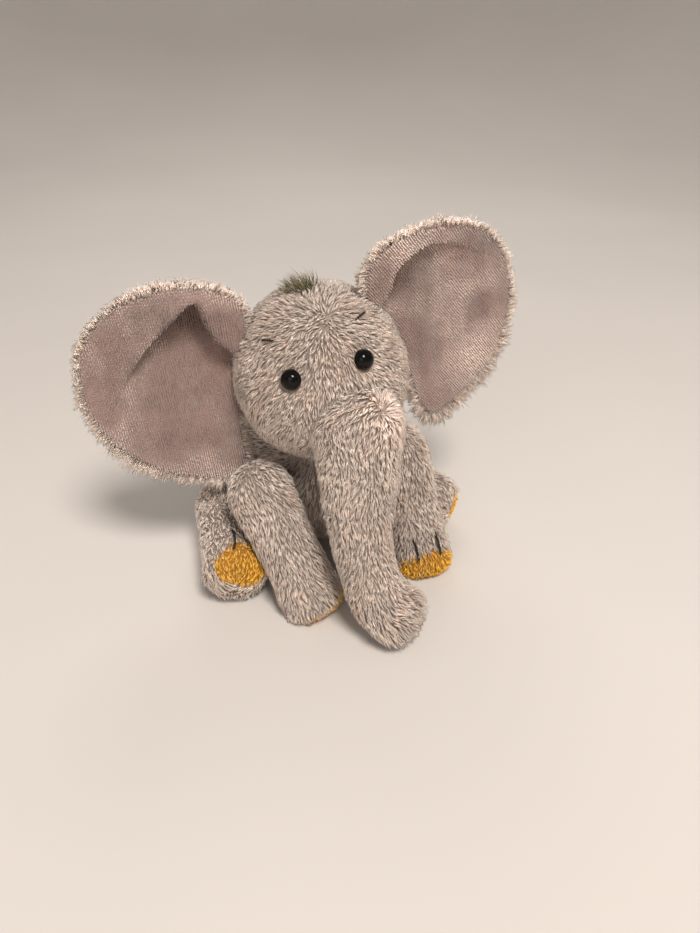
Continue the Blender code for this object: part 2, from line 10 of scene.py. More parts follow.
import bmesh
import bpy
import numpy as np
from mathutils import Matrix, Vector


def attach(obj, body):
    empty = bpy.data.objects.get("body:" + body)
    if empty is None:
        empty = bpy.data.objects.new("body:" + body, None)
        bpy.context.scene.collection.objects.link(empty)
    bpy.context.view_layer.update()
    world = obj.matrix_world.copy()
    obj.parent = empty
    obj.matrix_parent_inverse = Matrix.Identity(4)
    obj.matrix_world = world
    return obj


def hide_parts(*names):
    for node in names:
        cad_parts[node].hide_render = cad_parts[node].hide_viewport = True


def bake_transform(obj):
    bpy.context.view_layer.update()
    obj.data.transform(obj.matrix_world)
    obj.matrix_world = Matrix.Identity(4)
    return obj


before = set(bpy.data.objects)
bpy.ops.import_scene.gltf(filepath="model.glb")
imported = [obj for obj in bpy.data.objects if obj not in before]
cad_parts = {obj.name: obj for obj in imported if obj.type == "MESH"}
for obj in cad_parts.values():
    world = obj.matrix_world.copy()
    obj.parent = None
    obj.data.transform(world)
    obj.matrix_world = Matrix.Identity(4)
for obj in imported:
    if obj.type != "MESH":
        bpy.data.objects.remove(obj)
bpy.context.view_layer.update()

TAU = math.tau
SIDES = {"left": 1, "right": -1}
SEED_SHIFT = {"left": 0, "right": 1}

# Torso and neck
RUMP = np.array((0.0, 0.004, 0.032))
RUMP_RADIUS = 0.04
CHEST = np.array((-0.002, -0.037, 0.04))
CHEST_RADIUS = 0.0285
RUMP_WIDENING = 1.15
NECK = np.array((-0.004, -0.041, 0.0685))

# Head
HEAD = np.array((-0.005, -0.044, 0.11))
HEAD_HALF = np.array((0.0405, 0.0385, 0.042))
HEAD_TURN = math.radians(-16)
HEAD_TIP = math.radians(-11)
EYE_SPREAD = 0.0163
EYE_RISE = 0.0155
EYE_RADIUS = 0.0046
EYE_HEIGHT = 0.0046
EYE_RIM_HEIGHT = 0.0008
EYE_SHANK_RADIUS = 0.0013
EYE_SHANK_LENGTH = 0.006
BROW_SPREAD = 0.0205
BROW_RISE = 0.0295
BROW_LENGTH = 0.0055
THREAD_PLIES = 2
THREAD_TURNS_PER_MM = 0.45
WHORL = np.array((0.007, -0.021, 0.0345))

# Trunk: x, y, z and radius from the muzzle to the curled tip
TRUNK = (
    (-0.006, -0.0815, 0.096, 0.0205),
    (-0.0085, -0.087, 0.0875, 0.0186),
    (-0.0108, -0.0918, 0.078, 0.0168),
    (-0.0125, -0.0957, 0.069, 0.0154),
    (-0.0136, -0.0987, 0.0615, 0.0142),
    (-0.0142, -0.1005, 0.056, 0.0131),
    (-0.015, -0.1045, 0.045, 0.0124),
    (-0.0142, -0.1085, 0.035, 0.012),
    (-0.0122, -0.1122, 0.025, 0.0128),
    (-0.0085, -0.1165, 0.0175, 0.0134),
    (-0.004, -0.121, 0.0142, 0.013),
)
TRUNK_STEPS = 6
TRUNK_SPLIT = 4 * TRUNK_STEPS
TRUNK_LAP = 3
TRUNK_TIP_ROUND = 0.0075
MUZZLE = np.array(TRUNK[0][:3])
MUZZLE_RADIUS = TRUNK[0][3]
TRUNK_BEND = np.array(TRUNK[5][:3])
TRUNK_BEND_ROWS = (26, 34)
TRUNK_SWING_BEND = (0.01, 0.012)
TRUNK_CURL_BEND = (0.008, 0.01)
TRUNK_PILE_FLOOR = 0.0022
# The pale whorl where the trunk leaves the face, between the eyes
BRIDGE_PLACE = MUZZLE + np.array((0.005, -0.015, 0.0135))
BRIDGE_REACH = 0.011

# Ears: width and height in the head's own frame, from the seam's top round to its bottom. The
# two differ between the parts beside the seam
EAR_TOP = ((0.027, 0.029), (0.027, 0.043))
EAR_FOOT = ((0.054, -0.047), (0.047, -0.039), (0.0445, -0.024), (0.043, -0.011))
EAR_OUTLINE = {
    "left": (
        *EAR_TOP, (0.035, 0.053), (0.05, 0.0575), (0.067, 0.056), (0.0835, 0.05), (0.097, 0.04),
        (0.1045, 0.026), (0.106, 0.008), (0.102, -0.009), (0.094, -0.023), (0.081, -0.035),
        (0.0665, -0.044), *EAR_FOOT,
    ),
    "right": (
        *EAR_TOP, (0.035, 0.0535), (0.05, 0.06), (0.069, 0.0605), (0.0865, 0.055), (0.1005, 0.044),
        (0.1085, 0.0285), (0.11, 0.009), (0.1055, -0.0095), (0.097, -0.024), (0.083, -0.036),
        (0.067, -0.0445), *EAR_FOOT,
    ),
}
EAR_STEPS = 8
EAR_FREE_COUNT = (len(EAR_OUTLINE["left"]) - 1) * EAR_STEPS + 1
EAR_SEAM_COUNT = 62
EAR_SEAM_TUCK = 0.001
EAR_MIDDLE = np.array((0.068, 0.006))
EAR_SETBACK = 0.004
EAR_SWEEP_START = 0.035
EAR_SWEEP = {"left": 0.17, "right": -0.04}
EAR_CURL = {"left": 0.01, "right": 0.001}
EAR_CURL_START = 0.02
EAR_CURL_REACH = 0.037
EAR_HEM_TOP = 0.0012
EAR_HEM_BOTTOM = 0.003
EAR_HEM_TAPER = 0.012
EAR_RINGS = 36
# Each cloth's front and back depth, and the share of its width that its rounded rim takes
EAR_CLOTH_DEPTHS = (-0.0006, 0.0028)
EAR_CLOTH_RIM = 0.06
EAR_LINING_DEPTHS = (-0.002, -0.0008)
EAR_LINING_RIM = 0.04
EAR_BEND = (0.0345, 0.014)
EAR_NAP_STAND = 0.0022
EAR_NAP_LENGTH = 0.00165
EAR_NAP_WIDTH = 0.00085
# Spacing along a row's nap and from row to row
EAR_NAP_SPACING = (0.00125, 0.00085 * 1.3)
EAR_FRINGE_COUNT = 4800
EAR_FRINGE_MIDDLE = 0.0006
# The fringe's length along the ear's top, and how much longer it is along the bottom
EAR_FRINGE_LENGTH = 0.0028
EAR_FRINGE_EXTRA = 0.0028
# Each fold: the crease as (width, height, how far its upper side stands forward)
EAR_FOLD = {
    "right": (
        (0.093, 0.016, 0.0), (0.085, 0.024, 0.0015), (0.073, 0.035, 0.0055), (0.058, 0.045, 0.0105),
        (0.0478, 0.0505, 0.013), (0.0462, 0.037, 0.012), (0.0425, 0.028, 0.0085),
        (0.0375, 0.0205, 0.0045),
    ),
    "left": (
        (0.03, 0.0215, 0.005), (0.04, 0.033, 0.01), (0.0435, 0.041, 0.011), (0.05, 0.0455, 0.0085),
        (0.062, 0.047, 0.0045), (0.074, 0.043, 0.0015), (0.086, 0.036, 0.0),
    ),
}
EAR_NAP_WAY = {"left": (0.5, -0.86), "right": (0.1, -0.99)}
# The deep pocket beside each fold, round which the nap's colour is darkened as painted shade: width
# and height
EAR_POCKET_SHADE = {"left": np.array((0.059, 0.0375)), "right": np.array((0.051, 0.0385))}
# Painted sheen: a pale band where the nap is brushed the other way, (width, height) along it
EAR_SHEEN_BAND = {
    "right": ((0.069, 0.035), (0.08, 0.025), (0.09, 0.011), (0.096, -0.005)),
    "left": ((0.04, 0.02), (0.056, 0.016), (0.074, 0.018), (0.093, 0.019)),
}

# Legs: distance from the joint towards the sole, and radius. LEG_BEND gives a distance before and
# after the joint
FRONT_LEG = ((0.0, 0.015), (0.014, 0.0142), (0.034, 0.0134), (0.052, 0.0142), (0.061, 0.0144))
HIND_LEG = ((0.0, 0.0165), (0.014, 0.0158), (0.03, 0.015), (0.04, 0.0152), (0.046, 0.015))
SOLE_ROUND = 0.0075
SOLE_SEAM_GAP = 0.0001
SOLE_PILE_LENGTH = 0.0034
LEG_CLOTH = 0.0022
TOE_STITCH_SPREAD = 0.0062
TOE_STITCH_LENGTH = 0.013
TOE_STITCH_SHARE_ABOVE = 0.65
TOE_STITCH_STAND = 0.0022
TOE_STITCH_RADIUS = 0.0007
STITCH_PARTING = 0.0012
LEG_BEND = (0.012, 0.014)
# name: (profile, middle of the joint, middle of the sole, way that the toes point, how far the
# sole's seam lies back from the foot's end over the toes and at the heel)
LEGS = {
    "front_leg_right": (
        FRONT_LEG, (-0.0435, -0.052, 0.056), (-0.031, -0.0885, 0.0005),
        (1.0, 0.9, 0.3), (0.0105, 0.0015),
    ),
    "front_leg_left": (
        FRONT_LEG, (0.0365, -0.052, 0.056), (0.035, -0.087, 0.0005),
        (-0.35, -1.0, 1.0), (0.015, 0.003),
    ),
    "hind_leg_right": (
        HIND_LEG, (-0.049, -0.015, 0.025), (-0.0655, -0.066, 0.0165),
        (0.5, 0.0, 1.0), (0.0135, -0.0125),
    ),
    "hind_leg_left": (
        HIND_LEG, (0.049, -0.014, 0.025), (0.062, -0.063, 0.016),
        (1.0, 0.6, -0.1), (0.0085, -0.013),
    ),
}

# Tail
TAIL_ROOT = np.array((0.0, 0.047, 0.03))
TAIL_DIRECTION = np.array((0.0, 0.45, -0.6))
TAIL_LENGTH = 0.022
TAIL_RADIUS = 0.003
TAIL_BALL_RADIUS = 0.0045
TAIL_TUFT_RADIUS = 0.005

# Pile
PILE_LENGTH = 0.005
PILE_SPACING = 0.00112
PILE_WIDTH = 0.00095
# The face and the trunk have slightly closer and finer pile
FACE_SPACING = PILE_SPACING * 0.88
FACE_WIDTH = PILE_WIDTH * 0.9

# How far above the table the pile, the torso and the trunk stay
PILE_CLEARANCE = 0.0004
TORSO_CLEARANCE = 0.0003
TRUNK_CLEARANCE = 0.0006

# Camera
CAMERA_PLACE = (-0.1443, -0.3247, 0.251)
CAMERA_YAW = math.radians(29)
CAMERA_PITCH = math.radians(32)
CAMERA_LENS = 27

# Lights: name, place, size, power, colour
LIGHTS = (
    ("key", (-0.12, -1.0, 1.45), 0.5, 24.5, (1.0, 0.94, 0.88)),
    ("fill", (-0.9, -1.0, 0.7), 0.9, 2.5, (1.0, 0.95, 0.9)),
    ("back", (0.5, 1.1, 1.2), 0.9, 5.0, (1.0, 0.96, 0.93)),
)
LIGHT_TARGET = Vector((0.0, -0.05, 0.07))
SKY_COLOUR = (1.0, 0.965, 0.93, 1.0)
SKY_STRENGTH = 0.28

# Floor: how far the flat part reaches, the radius of its turn up into the wall, and the wall's top
FLOOR_REACH = 1.2
FLOOR_TURN = 1.8
WALL_TOP = 2.4


# ---- vectors and noise


def unit(rows):
    lengths = np.linalg.norm(rows, axis=-1, keepdims=True)
    return rows / np.maximum(lengths, 1e-12)


def smooth_share(values, low, high):
    share = np.clip((values - low) / (high - low), 0, 1)
    return share * share * (3 - 2 * share)


def falloff(distance, reach):
    """1 at no distance, fading smoothly to 0 a few reaches away."""
    return np.exp(-((distance / reach) ** 2))


def distance_to(points, centre):
    return np.linalg.norm(points - centre, axis=1)


def distances(points, line):
    """From each point to each point of a line, a row for each point."""
    return np.linalg.norm(points[:, None] - line[None], axis=2)


def run_length(line):
    """The distance along a line of points at each of them."""
    return np.concatenate(((0.0,), np.cumsum(np.linalg.norm(np.diff(line, axis=0), axis=1))))


def waves(points, size, seed):
    """Smooth noise from about -1 to 1 whose features are about size across."""
    rng = np.random.default_rng(seed)
    total = np.zeros(len(points))
    for octave in range(3):
        turns = rng.normal(size=(7, 3)) * (2.2 * 2**octave / size)
        phases = rng.uniform(0, TAU, 7)
        total += np.sin(points @ turns.T + phases).mean(axis=1) * 0.62**octave
    return total * 1.5


def smooth_path(rows, steps):
    """A Catmull-Rom curve through rows of numbers."""
    rows = np.asarray(rows, float)
    ends = np.vstack((2 * rows[0] - rows[1], rows, 2 * rows[-1] - rows[-2]))
    path = []
    for before, start, end, after in zip(ends, ends[1:], ends[2:], ends[3:]):
        for share in np.arange(steps) / steps:
            path.append(
                start
                + 0.5 * share * (end - before)
                + share**2 * (before - 2.5 * start + 2 * end - 0.5 * after)
                + share**3 * (1.5 * (start - end) + 0.5 * (after - before))
            )
    path.append(rows[-1])
    return np.array(path)


def turn_matrix(angle, axis):
    return np.array(Matrix.Rotation(angle, 3, axis))


HEAD_AXES = turn_matrix(HEAD_TURN, "Z") @ turn_matrix(HEAD_TIP, "Y")


def from_head(points):
    return HEAD + np.asarray(points) @ HEAD_AXES.T


def to_head(points):
    return (np.asarray(points) - HEAD) @ HEAD_AXES


# ---- materials


def connect(tree, node, inputs):
    """Links the inputs that come from other nodes, and sets the rest."""
    for key, value in inputs.items():
        if isinstance(value, bpy.types.NodeSocket):
            tree.links.new(value, node.inputs[key])
        else:
            node.inputs[key].default_value = value


def add_node(tree, kind, inputs=None, **settings):
    node = tree.nodes.new(kind)
    for key, value in settings.items():
        setattr(node, key, value)
    connect(tree, node, inputs or {})
    return node


def new_material(name):
    """A material, its node tree, its shader, and the place in the model of each point."""
    material = bpy.data.materials.new(name)
    material.use_nodes = True
    tree = material.node_tree
    place = add_node(tree, "ShaderNodeNewGeometry").outputs["Position"]
    return material, tree, tree.nodes["Principled BSDF"], place


def attribute(tree, name):
    return add_node(tree, "ShaderNodeAttribute", attribute_name=name).outputs["Fac"]


def maths(tree, operation, *values):
    return add_node(tree, "ShaderNodeMath", dict(enumerate(values)), operation=operation).outputs[0]


def noise(tree, place, scale, detail=3.0, roughness=0.55):
    inputs = {"Vector": place, "Scale": scale, "Detail": detail, "Roughness": roughness}
    return add_node(tree, "ShaderNodeTexNoise", inputs).outputs["Fac"]


def stretch(tree, value, low, high, to_low, to_high):
    inputs = {
        "Value": value, "From Min": low, "From Max": high, "To Min": to_low, "To Max": to_high
    }
    return add_node(tree, "ShaderNodeMapRange", inputs).outputs["Result"]


def mix(tree, share, first, second, blend):
    inputs = {0: share, 6: first, 7: (*second, 1.0)}
    node = add_node(tree, "ShaderNodeMix", inputs, data_type="RGBA", blend_type=blend)
    return node.outputs[2]


def ramp(tree, value, *stops):
    node = add_node(tree, "ShaderNodeValToRGB", {"Fac": value})
    elements = node.color_ramp.elements
    while len(elements) < len(stops):
        elements.new(0.5)
    for element, (position, colour) in zip(elements, stops):
        element.position = position
        element.color = (*colour, 1.0)
    return node.outputs["Color"]


def bump(tree, height, strength, distance):
    inputs = {"Height": height, "Strength": strength, "Distance": distance}
    return add_node(tree, "ShaderNodeBump", inputs).outputs["Normal"]


def pile_material(name, root_shade, body, tip, tinted, sheen=0.25, softness=0.6):
    """A tuft: darker at its root as painted shade deep in the pile, pale at its tip, each a little
    different.
    """
    material, tree, shader, place = new_material(name)
    # The darker root colour is painted shade between the tufts.
    colour = ramp(tree, attribute(tree, "reach"), (0.0, root_shade), (0.45, body), (1.0, tip))
    colour = mix(tree, attribute(tree, "tint"), colour, tinted, "MIX")
    warm = stretch(tree, noise(tree, place, 75.0), 0.48, 0.68, 0.0, 0.55)
    colour = mix(tree, warm, colour, (0.93, 0.83, 0.78), "MULTIPLY")
    patches = stretch(tree, noise(tree, place, 95.0), 0.35, 0.65, 0.86, 1.1)
    light = maths(tree, "MULTIPLY_ADD", attribute(tree, "shade"), 0.13, patches)
    grain = stretch(tree, noise(tree, place, 2600.0, 2.0), 0.3, 0.7, 0.86, 1.12)
    light = maths(tree, "MULTIPLY", light, grain)
    lit = add_node(tree, "ShaderNodeHueSaturation", {"Value": light, "Color": colour})
    shader.subsurface_method = "BURLEY"
    connect(tree, shader, {
        "Base Color": lit.outputs["Color"],
        "Roughness": stretch(tree, grain, 0.86, 1.12, 0.96, 0.78),
        "Sheen Weight": sheen,
        "Sheen Roughness": 0.45,
        "Specular IOR Level": 0.15,
        "Subsurface Weight": softness,
        "Subsurface Radius": (1.0, 0.85, 0.75),
        "Subsurface Scale": 0.0022,
    })
    return material


def cloth_material(name, dark, light, scale, sheen=0.2, depth=0.0006):
    """A napped or knitted cloth that shows between tufts, mottled from dark to light."""
    material, tree, shader, place = new_material(name)
    patches = noise(tree, place, 120.0, 4.0)
    fibres = noise(tree, place, scale, 3.0, 0.7)
    share = maths(tree, "MULTIPLY_ADD", fibres, 0.55, maths(tree, "MULTIPLY", patches, 0.45))
    connect(tree, shader, {
        "Base Color": ramp(tree, share, (0.3, dark), (0.7, light)),
        "Roughness": stretch(tree, fibres, 0.3, 0.7, 0.98, 0.82),
        "Sheen Weight": sheen,
        "Sheen Roughness": 0.5,
        "Specular IOR Level": 0.2,
        "Normal": bump(tree, fibres, 0.6, depth),
    })
    return material


def thread_material(name, dark, light):
    material, tree, shader, place = new_material(name)
    fibres = noise(tree, place, 3200.0, 2.0)
    connect(tree, shader, {
        "Base Color": ramp(tree, fibres, (0.35, dark), (0.65, light)),
        "Roughness": stretch(tree, fibres, 0.3, 0.7, 0.75, 0.5),
        "Normal": bump(tree, fibres, 0.5, 0.0002),
    })
    return material


def eye_material():
    """Glossy black plastic with faint moulding marks and dust."""
    material, tree, shader, place = new_material("eye_gloss")
    dust = noise(tree, place, 900.0, 4.0)
    connect(tree, shader, {
        "Base Color": ramp(tree, dust, (0.4, (0.002, 0.002, 0.002)), (0.75, (0.008, 0.007, 0.006))),
        "Roughness": stretch(tree, dust, 0.3, 0.8, 0.05, 0.14),
        "Specular IOR Level": 0.2,
        "Normal": bump(tree, dust, 0.05, 0.0002),
    })
    return material


def hard_material(name, dark, light, rough):
    """Moulded plastic, for the washers and pellets."""
    material, tree, shader, place = new_material(name)
    inputs = {"Vector": place, "Scale": 420.0}
    cells = add_node(tree, "ShaderNodeTexVoronoi", inputs).outputs["Distance"]
    connect(tree, shader, {
        "Base Color": ramp(tree, cells, (0.1, light), (0.8, dark)),
        "Roughness": stretch(tree, cells, 0.0, 1.0, rough, rough + 0.2),
        "Normal": bump(tree, cells, 0.4, 0.0006),
    })
    return material


def floor_material():
    material, tree, shader, place = new_material("pale_floor")
    mottle = noise(tree, place, 3.0, 2.0)
    connect(tree, shader, {
        "Base Color": ramp(tree, mottle, (0.3, (0.72, 0.675, 0.635)), (0.7, (0.75, 0.705, 0.665))),
        "Roughness": 0.9,
        "Specular IOR Level": 0.1,
    })
    return material


GREY_PILE = pile_material(
    "plush_pile", (0.35, 0.285, 0.25), (0.64, 0.555, 0.495), (0.8, 0.72, 0.65), (0.88, 0.75, 0.68)
)
GREY_CLOTH = cloth_material("plush_backing", (0.26, 0.2, 0.165), (0.46, 0.38, 0.32), 2200.0)
AMBER_PILE = pile_material(
    "sole_pile", (0.4, 0.18, 0.012), (0.92, 0.5, 0.045), (0.98, 0.68, 0.13), (0.72, 0.36, 0.04)
)
AMBER_CLOTH = cloth_material("sole_backing", (0.24, 0.1, 0.01), (0.6, 0.28, 0.03), 2200.0)
LINING_PILE = pile_material(
    "lining_pile", (0.13, 0.075, 0.065), (0.38, 0.25, 0.22), (0.62, 0.46, 0.415), (0.82, 0.7, 0.63),
    sheen=0.5, softness=0.12,
)
LINING_CLOTH = cloth_material(
    "lining_backing", (0.24, 0.155, 0.135), (0.44, 0.31, 0.275), 2600.0, sheen=0.5, depth=0.0003
)
OLIVE_PILE = pile_material(
    "hair_pile", (0.08, 0.062, 0.03), (0.2, 0.165, 0.08), (0.56, 0.47, 0.32), (0.12, 0.105, 0.05)
)
OLIVE_CLOTH = cloth_material("hair_backing", (0.05, 0.042, 0.018), (0.14, 0.115, 0.05), 2400.0)
DARK_THREAD = thread_material("dark_thread", (0.006, 0.005, 0.004), (0.035, 0.026, 0.02))
EYE_GLOSS = eye_material()
FILLING = cloth_material("fibre_filling", (0.62, 0.61, 0.57), (0.86, 0.85, 0.82), 900.0, 0.3, 0.002)
POUCH = cloth_material("pouch_cotton", (0.55, 0.52, 0.46), (0.8, 0.78, 0.71), 3000.0, 0.1, 0.0003)
PELLETS = hard_material("plastic_pellets", (0.45, 0.48, 0.52), (0.8, 0.82, 0.85), 0.3)
WASHER = hard_material("washer_plastic", (0.62, 0.62, 0.6), (0.84, 0.84, 0.82), 0.35)


# ---- meshes


def press_flat(points, clearance):
    """Lifts the points that would be in the table to just above it."""
    points[:, 2] = np.maximum(points[:, 2], clearance)
    return points


def make_object(name, points, triangles, material):
    mesh = bpy.data.meshes.new(name)
    mesh.vertices.add(len(points))
    mesh.vertices.foreach_set("co", np.asarray(points, np.float32).ravel())
    mesh.loops.add(triangles.size)
    mesh.loops.foreach_set("vertex_index", np.asarray(triangles, np.int32).ravel())
    mesh.polygons.add(len(triangles))
    mesh.polygons.foreach_set("loop_start", np.arange(0, triangles.size, 3, dtype=np.int32))
    mesh.update(calc_edges=True)
    mesh.materials.append(material)
    mesh.shade_smooth()
    made = bpy.data.objects.new(name, mesh)
    bpy.context.scene.collection.objects.link(made)
    return made


def surface_of(made):
    """The points, triangles and point normals of a mesh."""
    mesh = made.data
    mesh.calc_loop_triangles()
    points = np.empty(len(mesh.vertices) * 3)
    mesh.vertices.foreach_get("co", points)
    normals = np.empty(len(mesh.vertices) * 3)
    mesh.vertex_normals.foreach_get("vector", normals)
    triangles = np.empty(len(mesh.loop_triangles) * 3, np.int32)
    mesh.loop_triangles.foreach_get("vertices", triangles)
    return points.reshape(-1, 3), triangles.reshape(-1, 3), normals.reshape(-1, 3)


def unit_ball(subdivisions):
    """The points and triangles of an even ball."""
    shape = bmesh.new()
    bmesh.ops.create_icosphere(shape, subdivisions=subdivisions, radius=1.0)
    points = np.array([vert.co[:] for vert in shape.verts])
    triangles = np.array([[vert.index for vert in face.verts] for face in shape.faces])
    shape.free()
    return points, triangles


def ring_triangles(rings, sides):
    """Triangles that join rings of points one after another."""
    lower = np.arange(rings - 1)[:, None] * sides + np.arange(sides)
    lower_next = np.arange(rings - 1)[:, None] * sides + (np.arange(sides) + 1) % sides
    upper, upper_next = lower + sides, lower_next + sides
    first = np.stack((lower, lower_next, upper_next), axis=-1).reshape(-1, 3)
    second = np.stack((lower, upper_next, upper), axis=-1).reshape(-1, 3)
    return np.vstack((first, second))


def fan_triangles(ring_start, sides, pole, outward):
    here = ring_start + np.arange(sides)
    following = ring_start + (np.arange(sides) + 1) % sides
    poles = np.full(sides, pole)
    fan = (poles, following, here) if outward else (poles, here, following)
    return np.stack(fan, axis=-1)


def capped_triangles(rings, sides):
    """Triangles that join rings of points, with a pole beyond each end, after the rings."""
    count = rings * sides
    return np.vstack((
        ring_triangles(rings, sides),
        fan_triangles(0, sides, count, True),
        fan_triangles(count - sides, sides, count + 1, False),
    ))


def ring_spokes(sides, first, second):
    """Ways out from a ring's middle, in the plane of two ways."""
    angles = TAU * np.arange(sides) / sides
    return np.outer(np.cos(angles), first) + np.outer(np.sin(angles), second)


def tube_shape(rows, sides=44):
    """A closed tube along rows of x, y, z and radius."""
    middles, radii = rows[:, :3], rows[:, 3]
    travel = unit(np.gradient(middles, axis=0))
    side = unit(np.cross(travel[0], (0.31, 0.2, 0.93)))
    points = []
    for middle, radius, way in zip(middles, radii, travel):
        side = unit(side - way * (side @ way))
        points.append(middle + radius * ring_spokes(sides, side, np.cross(way, side)))
    points = np.vstack((*points, middles[:1], middles[-1:]))
    return points, capped_triangles(len(rows), sides)


def rounded(rows, start_length, end_length, steps=9):
    """Adds round ends of these lengths to rows of x, y, z and radius."""
    angles = math.pi / 2 * np.arange(1, steps + 1) / (steps + 0.3)
    start_way = unit(rows[0, :3] - rows[1, :3])
    end_way = unit(rows[-1, :3] - rows[-2, :3])

    def end(row, way, length):
        middles = row[:3] + np.outer(np.sin(angles) * length, way)
        return np.column_stack((middles, row[3] * np.cos(angles)))

    return np.vstack((
        end(rows[0], start_way, start_length)[::-1], rows, end(rows[-1], end_way, end_length)
    ))


# ---- pile


def scatter(made, spacing, seed):
    """Roots spread evenly over a mesh, with their normals."""
    points, triangles, normals = surface_of(made)
    rng = np.random.default_rng(seed)
    corner, second, third = (points[triangles[:, k]] for k in range(3))
    areas = np.linalg.norm(np.cross(second - corner, third - corner), axis=1) / 2
    count = int(areas.sum() / spacing**2 * 5)
    chosen = rng.choice(len(triangles), count, p=areas / areas.sum())
    shares = rng.random((count, 2))
    over = shares.sum(axis=1) > 1
    shares[over] = 1 - shares[over]
    weights = np.column_stack((1 - shares.sum(axis=1), shares))
    roots = np.einsum("ij,ijk->ik", weights, points[triangles[chosen]])
    ways = np.einsum("ij,ijk->ik", weights, normals[triangles[chosen]])
    cells = np.floor(roots / (spacing * 1.22)).astype(np.int64)
    kept = np.sort(np.unique(cells, axis=0, return_index=True)[1])
    return roots[kept], unit(ways[kept])


def gathered(roots, tips, size, amount, seed):
    """Pulls tips together in clumps about size across."""
    wander = np.column_stack([waves(roots, size * 3, seed + k) for k in range(3)]) * size * 0.7
    cells = np.floor((roots + wander) / size).astype(np.int64)
    group = np.unique(cells, axis=0, return_inverse=True)[1].reshape(-1)
    members = np.bincount(group)
    centres = np.column_stack([np.bincount(group, tips[:, k]) for k in range(3)]) / members[:, None]
    return tips + (centres[group] - tips) * amount


def set_attribute(mesh, name, values):
    layer = mesh.attributes.new(name, "FLOAT", "POINT")
    layer.data.foreach_set("value", np.asarray(values, np.float32))


def strand_maps(mesh, count):
    """Gives each tuft a cell of its own in the map, with its root low and its tip high."""
    columns = math.ceil(math.sqrt(count))
    cell = np.arange(count)
    low = np.column_stack((cell % columns, cell // columns)) / columns
    inside = np.array(
        ((0.2, 0.1), (0.8, 0.1), (0.5, 0.1), (0.3, 0.5), (0.7, 0.5), (0.5, 0.5), (0.5, 0.9))
    )
    places = (low[:, None] + inside[None] / columns).reshape(-1, 2)
    corners = np.empty(len(mesh.loops), np.int32)
    mesh.loops.foreach_get("vertex_index", corners)
    layer = mesh.uv_layers.new(name="OFBake")
    layer.data.foreach_set("uv", places[corners].astype(np.float32).ravel())


def grow(name, roots, normals, flow, material, length=PILE_LENGTH, width=PILE_WIDTH, lift=0.75,
         clump=0.55, clump_size=0.003, swirl=0.4, tint=0.0, droop=0.1, shade=0.0,
         stray=0.22, *, seed):
    """Tufts of pile as one mesh. flow is the way each lies, and lift how steeply it stands."""
    rng = np.random.default_rng(seed)
    count = len(roots)
    flow = unit(flow - normals * np.sum(flow * normals, axis=1, keepdims=True))
    across = np.cross(normals, flow)
    angle = (waves(roots, 0.016, seed + 11) * swirl + rng.normal(0, stray, count))[:, None]
    flow = flow * np.cos(angle) + across * np.sin(angle)
    length = np.broadcast_to(length, count) * (1 + waves(roots, 0.007, seed + 5) * 0.14)
    length = (length * rng.uniform(0.8, 1.18, count))[:, None]
    lift = (np.broadcast_to(lift, count) * rng.uniform(0.65, 1.35, count))[:, None]
    down = np.array((0.0, 0.0, -droop))
    first = unit(normals * lift + flow * 0.8)
    second = unit(normals * lift * 0.45 + flow + down)
    start = roots - normals * 0.0004
    middle = start + first * length * 0.52
    tip = middle + second * length * 0.52
    tip = gathered(roots, tip, clump_size, clump, seed + 21)
    middle = gathered(roots, middle, clump_size, clump * 0.35, seed + 21)
    side = unit(np.cross(first, normals))
    over = np.cross(side, first)
    radius = (np.broadcast_to(width, count) * rng.uniform(0.75, 1.2, count) / 2)[:, None]
    points = np.empty((count, 7, 3))
    for corner in range(3):
        turn = TAU * corner / 3 + math.pi / 2
        spoke = (side * math.cos(turn) + over * math.sin(turn) * 0.8) * radius
        points[:, corner] = start + spoke
        points[:, 3 + corner] = middle + spoke * 0.72
    points[:, 6] = tip
    points = press_flat(points.reshape(-1, 3), PILE_CLEARANCE)
    pattern = np.array((
        (0, 1, 4), (0, 4, 3), (1, 2, 5), (1, 5, 4), (2, 0, 3), (2, 3, 5),
        (3, 4, 6), (4, 5, 6), (5, 3, 6), (0, 2, 1),
    ))
    triangles = (np.arange(count)[:, None, None] * 7 + pattern[None]).reshape(-1, 3)
    made = make_object(name, points, triangles, material)
    set_attribute(made.data, "reach", np.tile((0, 0, 0, 0.5, 0.5, 0.5, 1.0), count))
    set_attribute(made.data, "shade", np.repeat(rng.uniform(-1, 1, count) + shade, 7))
    set_attribute(made.data, "tint", np.repeat(np.broadcast_to(tint, count), 7))
    strand_maps(made.data, count)
    return made


def settle(made, slot, body, joined=None, start=None, end=None):
    """Hangs a piece on its body; a piece between body and joined is not bent, its placement only
    goes into its points.
    """
    if joined is None:
        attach(made, body)
    else:
        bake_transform(made)


def dress(skin, pile, slot, bend, node):
    """Settles a skin and its pile alike, and hides the CAD node that they stand for."""
    for piece in (skin, pile):
        settle(piece, slot, *bend)
    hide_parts(node)


# ---- torso and neck


def torso_points(ball):
    axis = unit(CHEST - RUMP)
    side = np.array((1.0, 0.0, 0.0))
    side = unit(side - axis * (side @ axis))
    other = np.cross(axis, side)
    rise = ball[:, 2:3]
    share = smooth_share(rise, -1, 1)
    middle = RUMP + (CHEST - RUMP) * share
    radius = RUMP_RADIUS + (CHEST_RADIUS - RUMP_RADIUS) * share
    widening = RUMP_WIDENING + (1 - RUMP_WIDENING) * share
    points = middle + radius * (ball[:, :1] * widening * side + ball[:, 1:2] * other + rise * axis)
    return press_flat(points, TORSO_CLEARANCE)


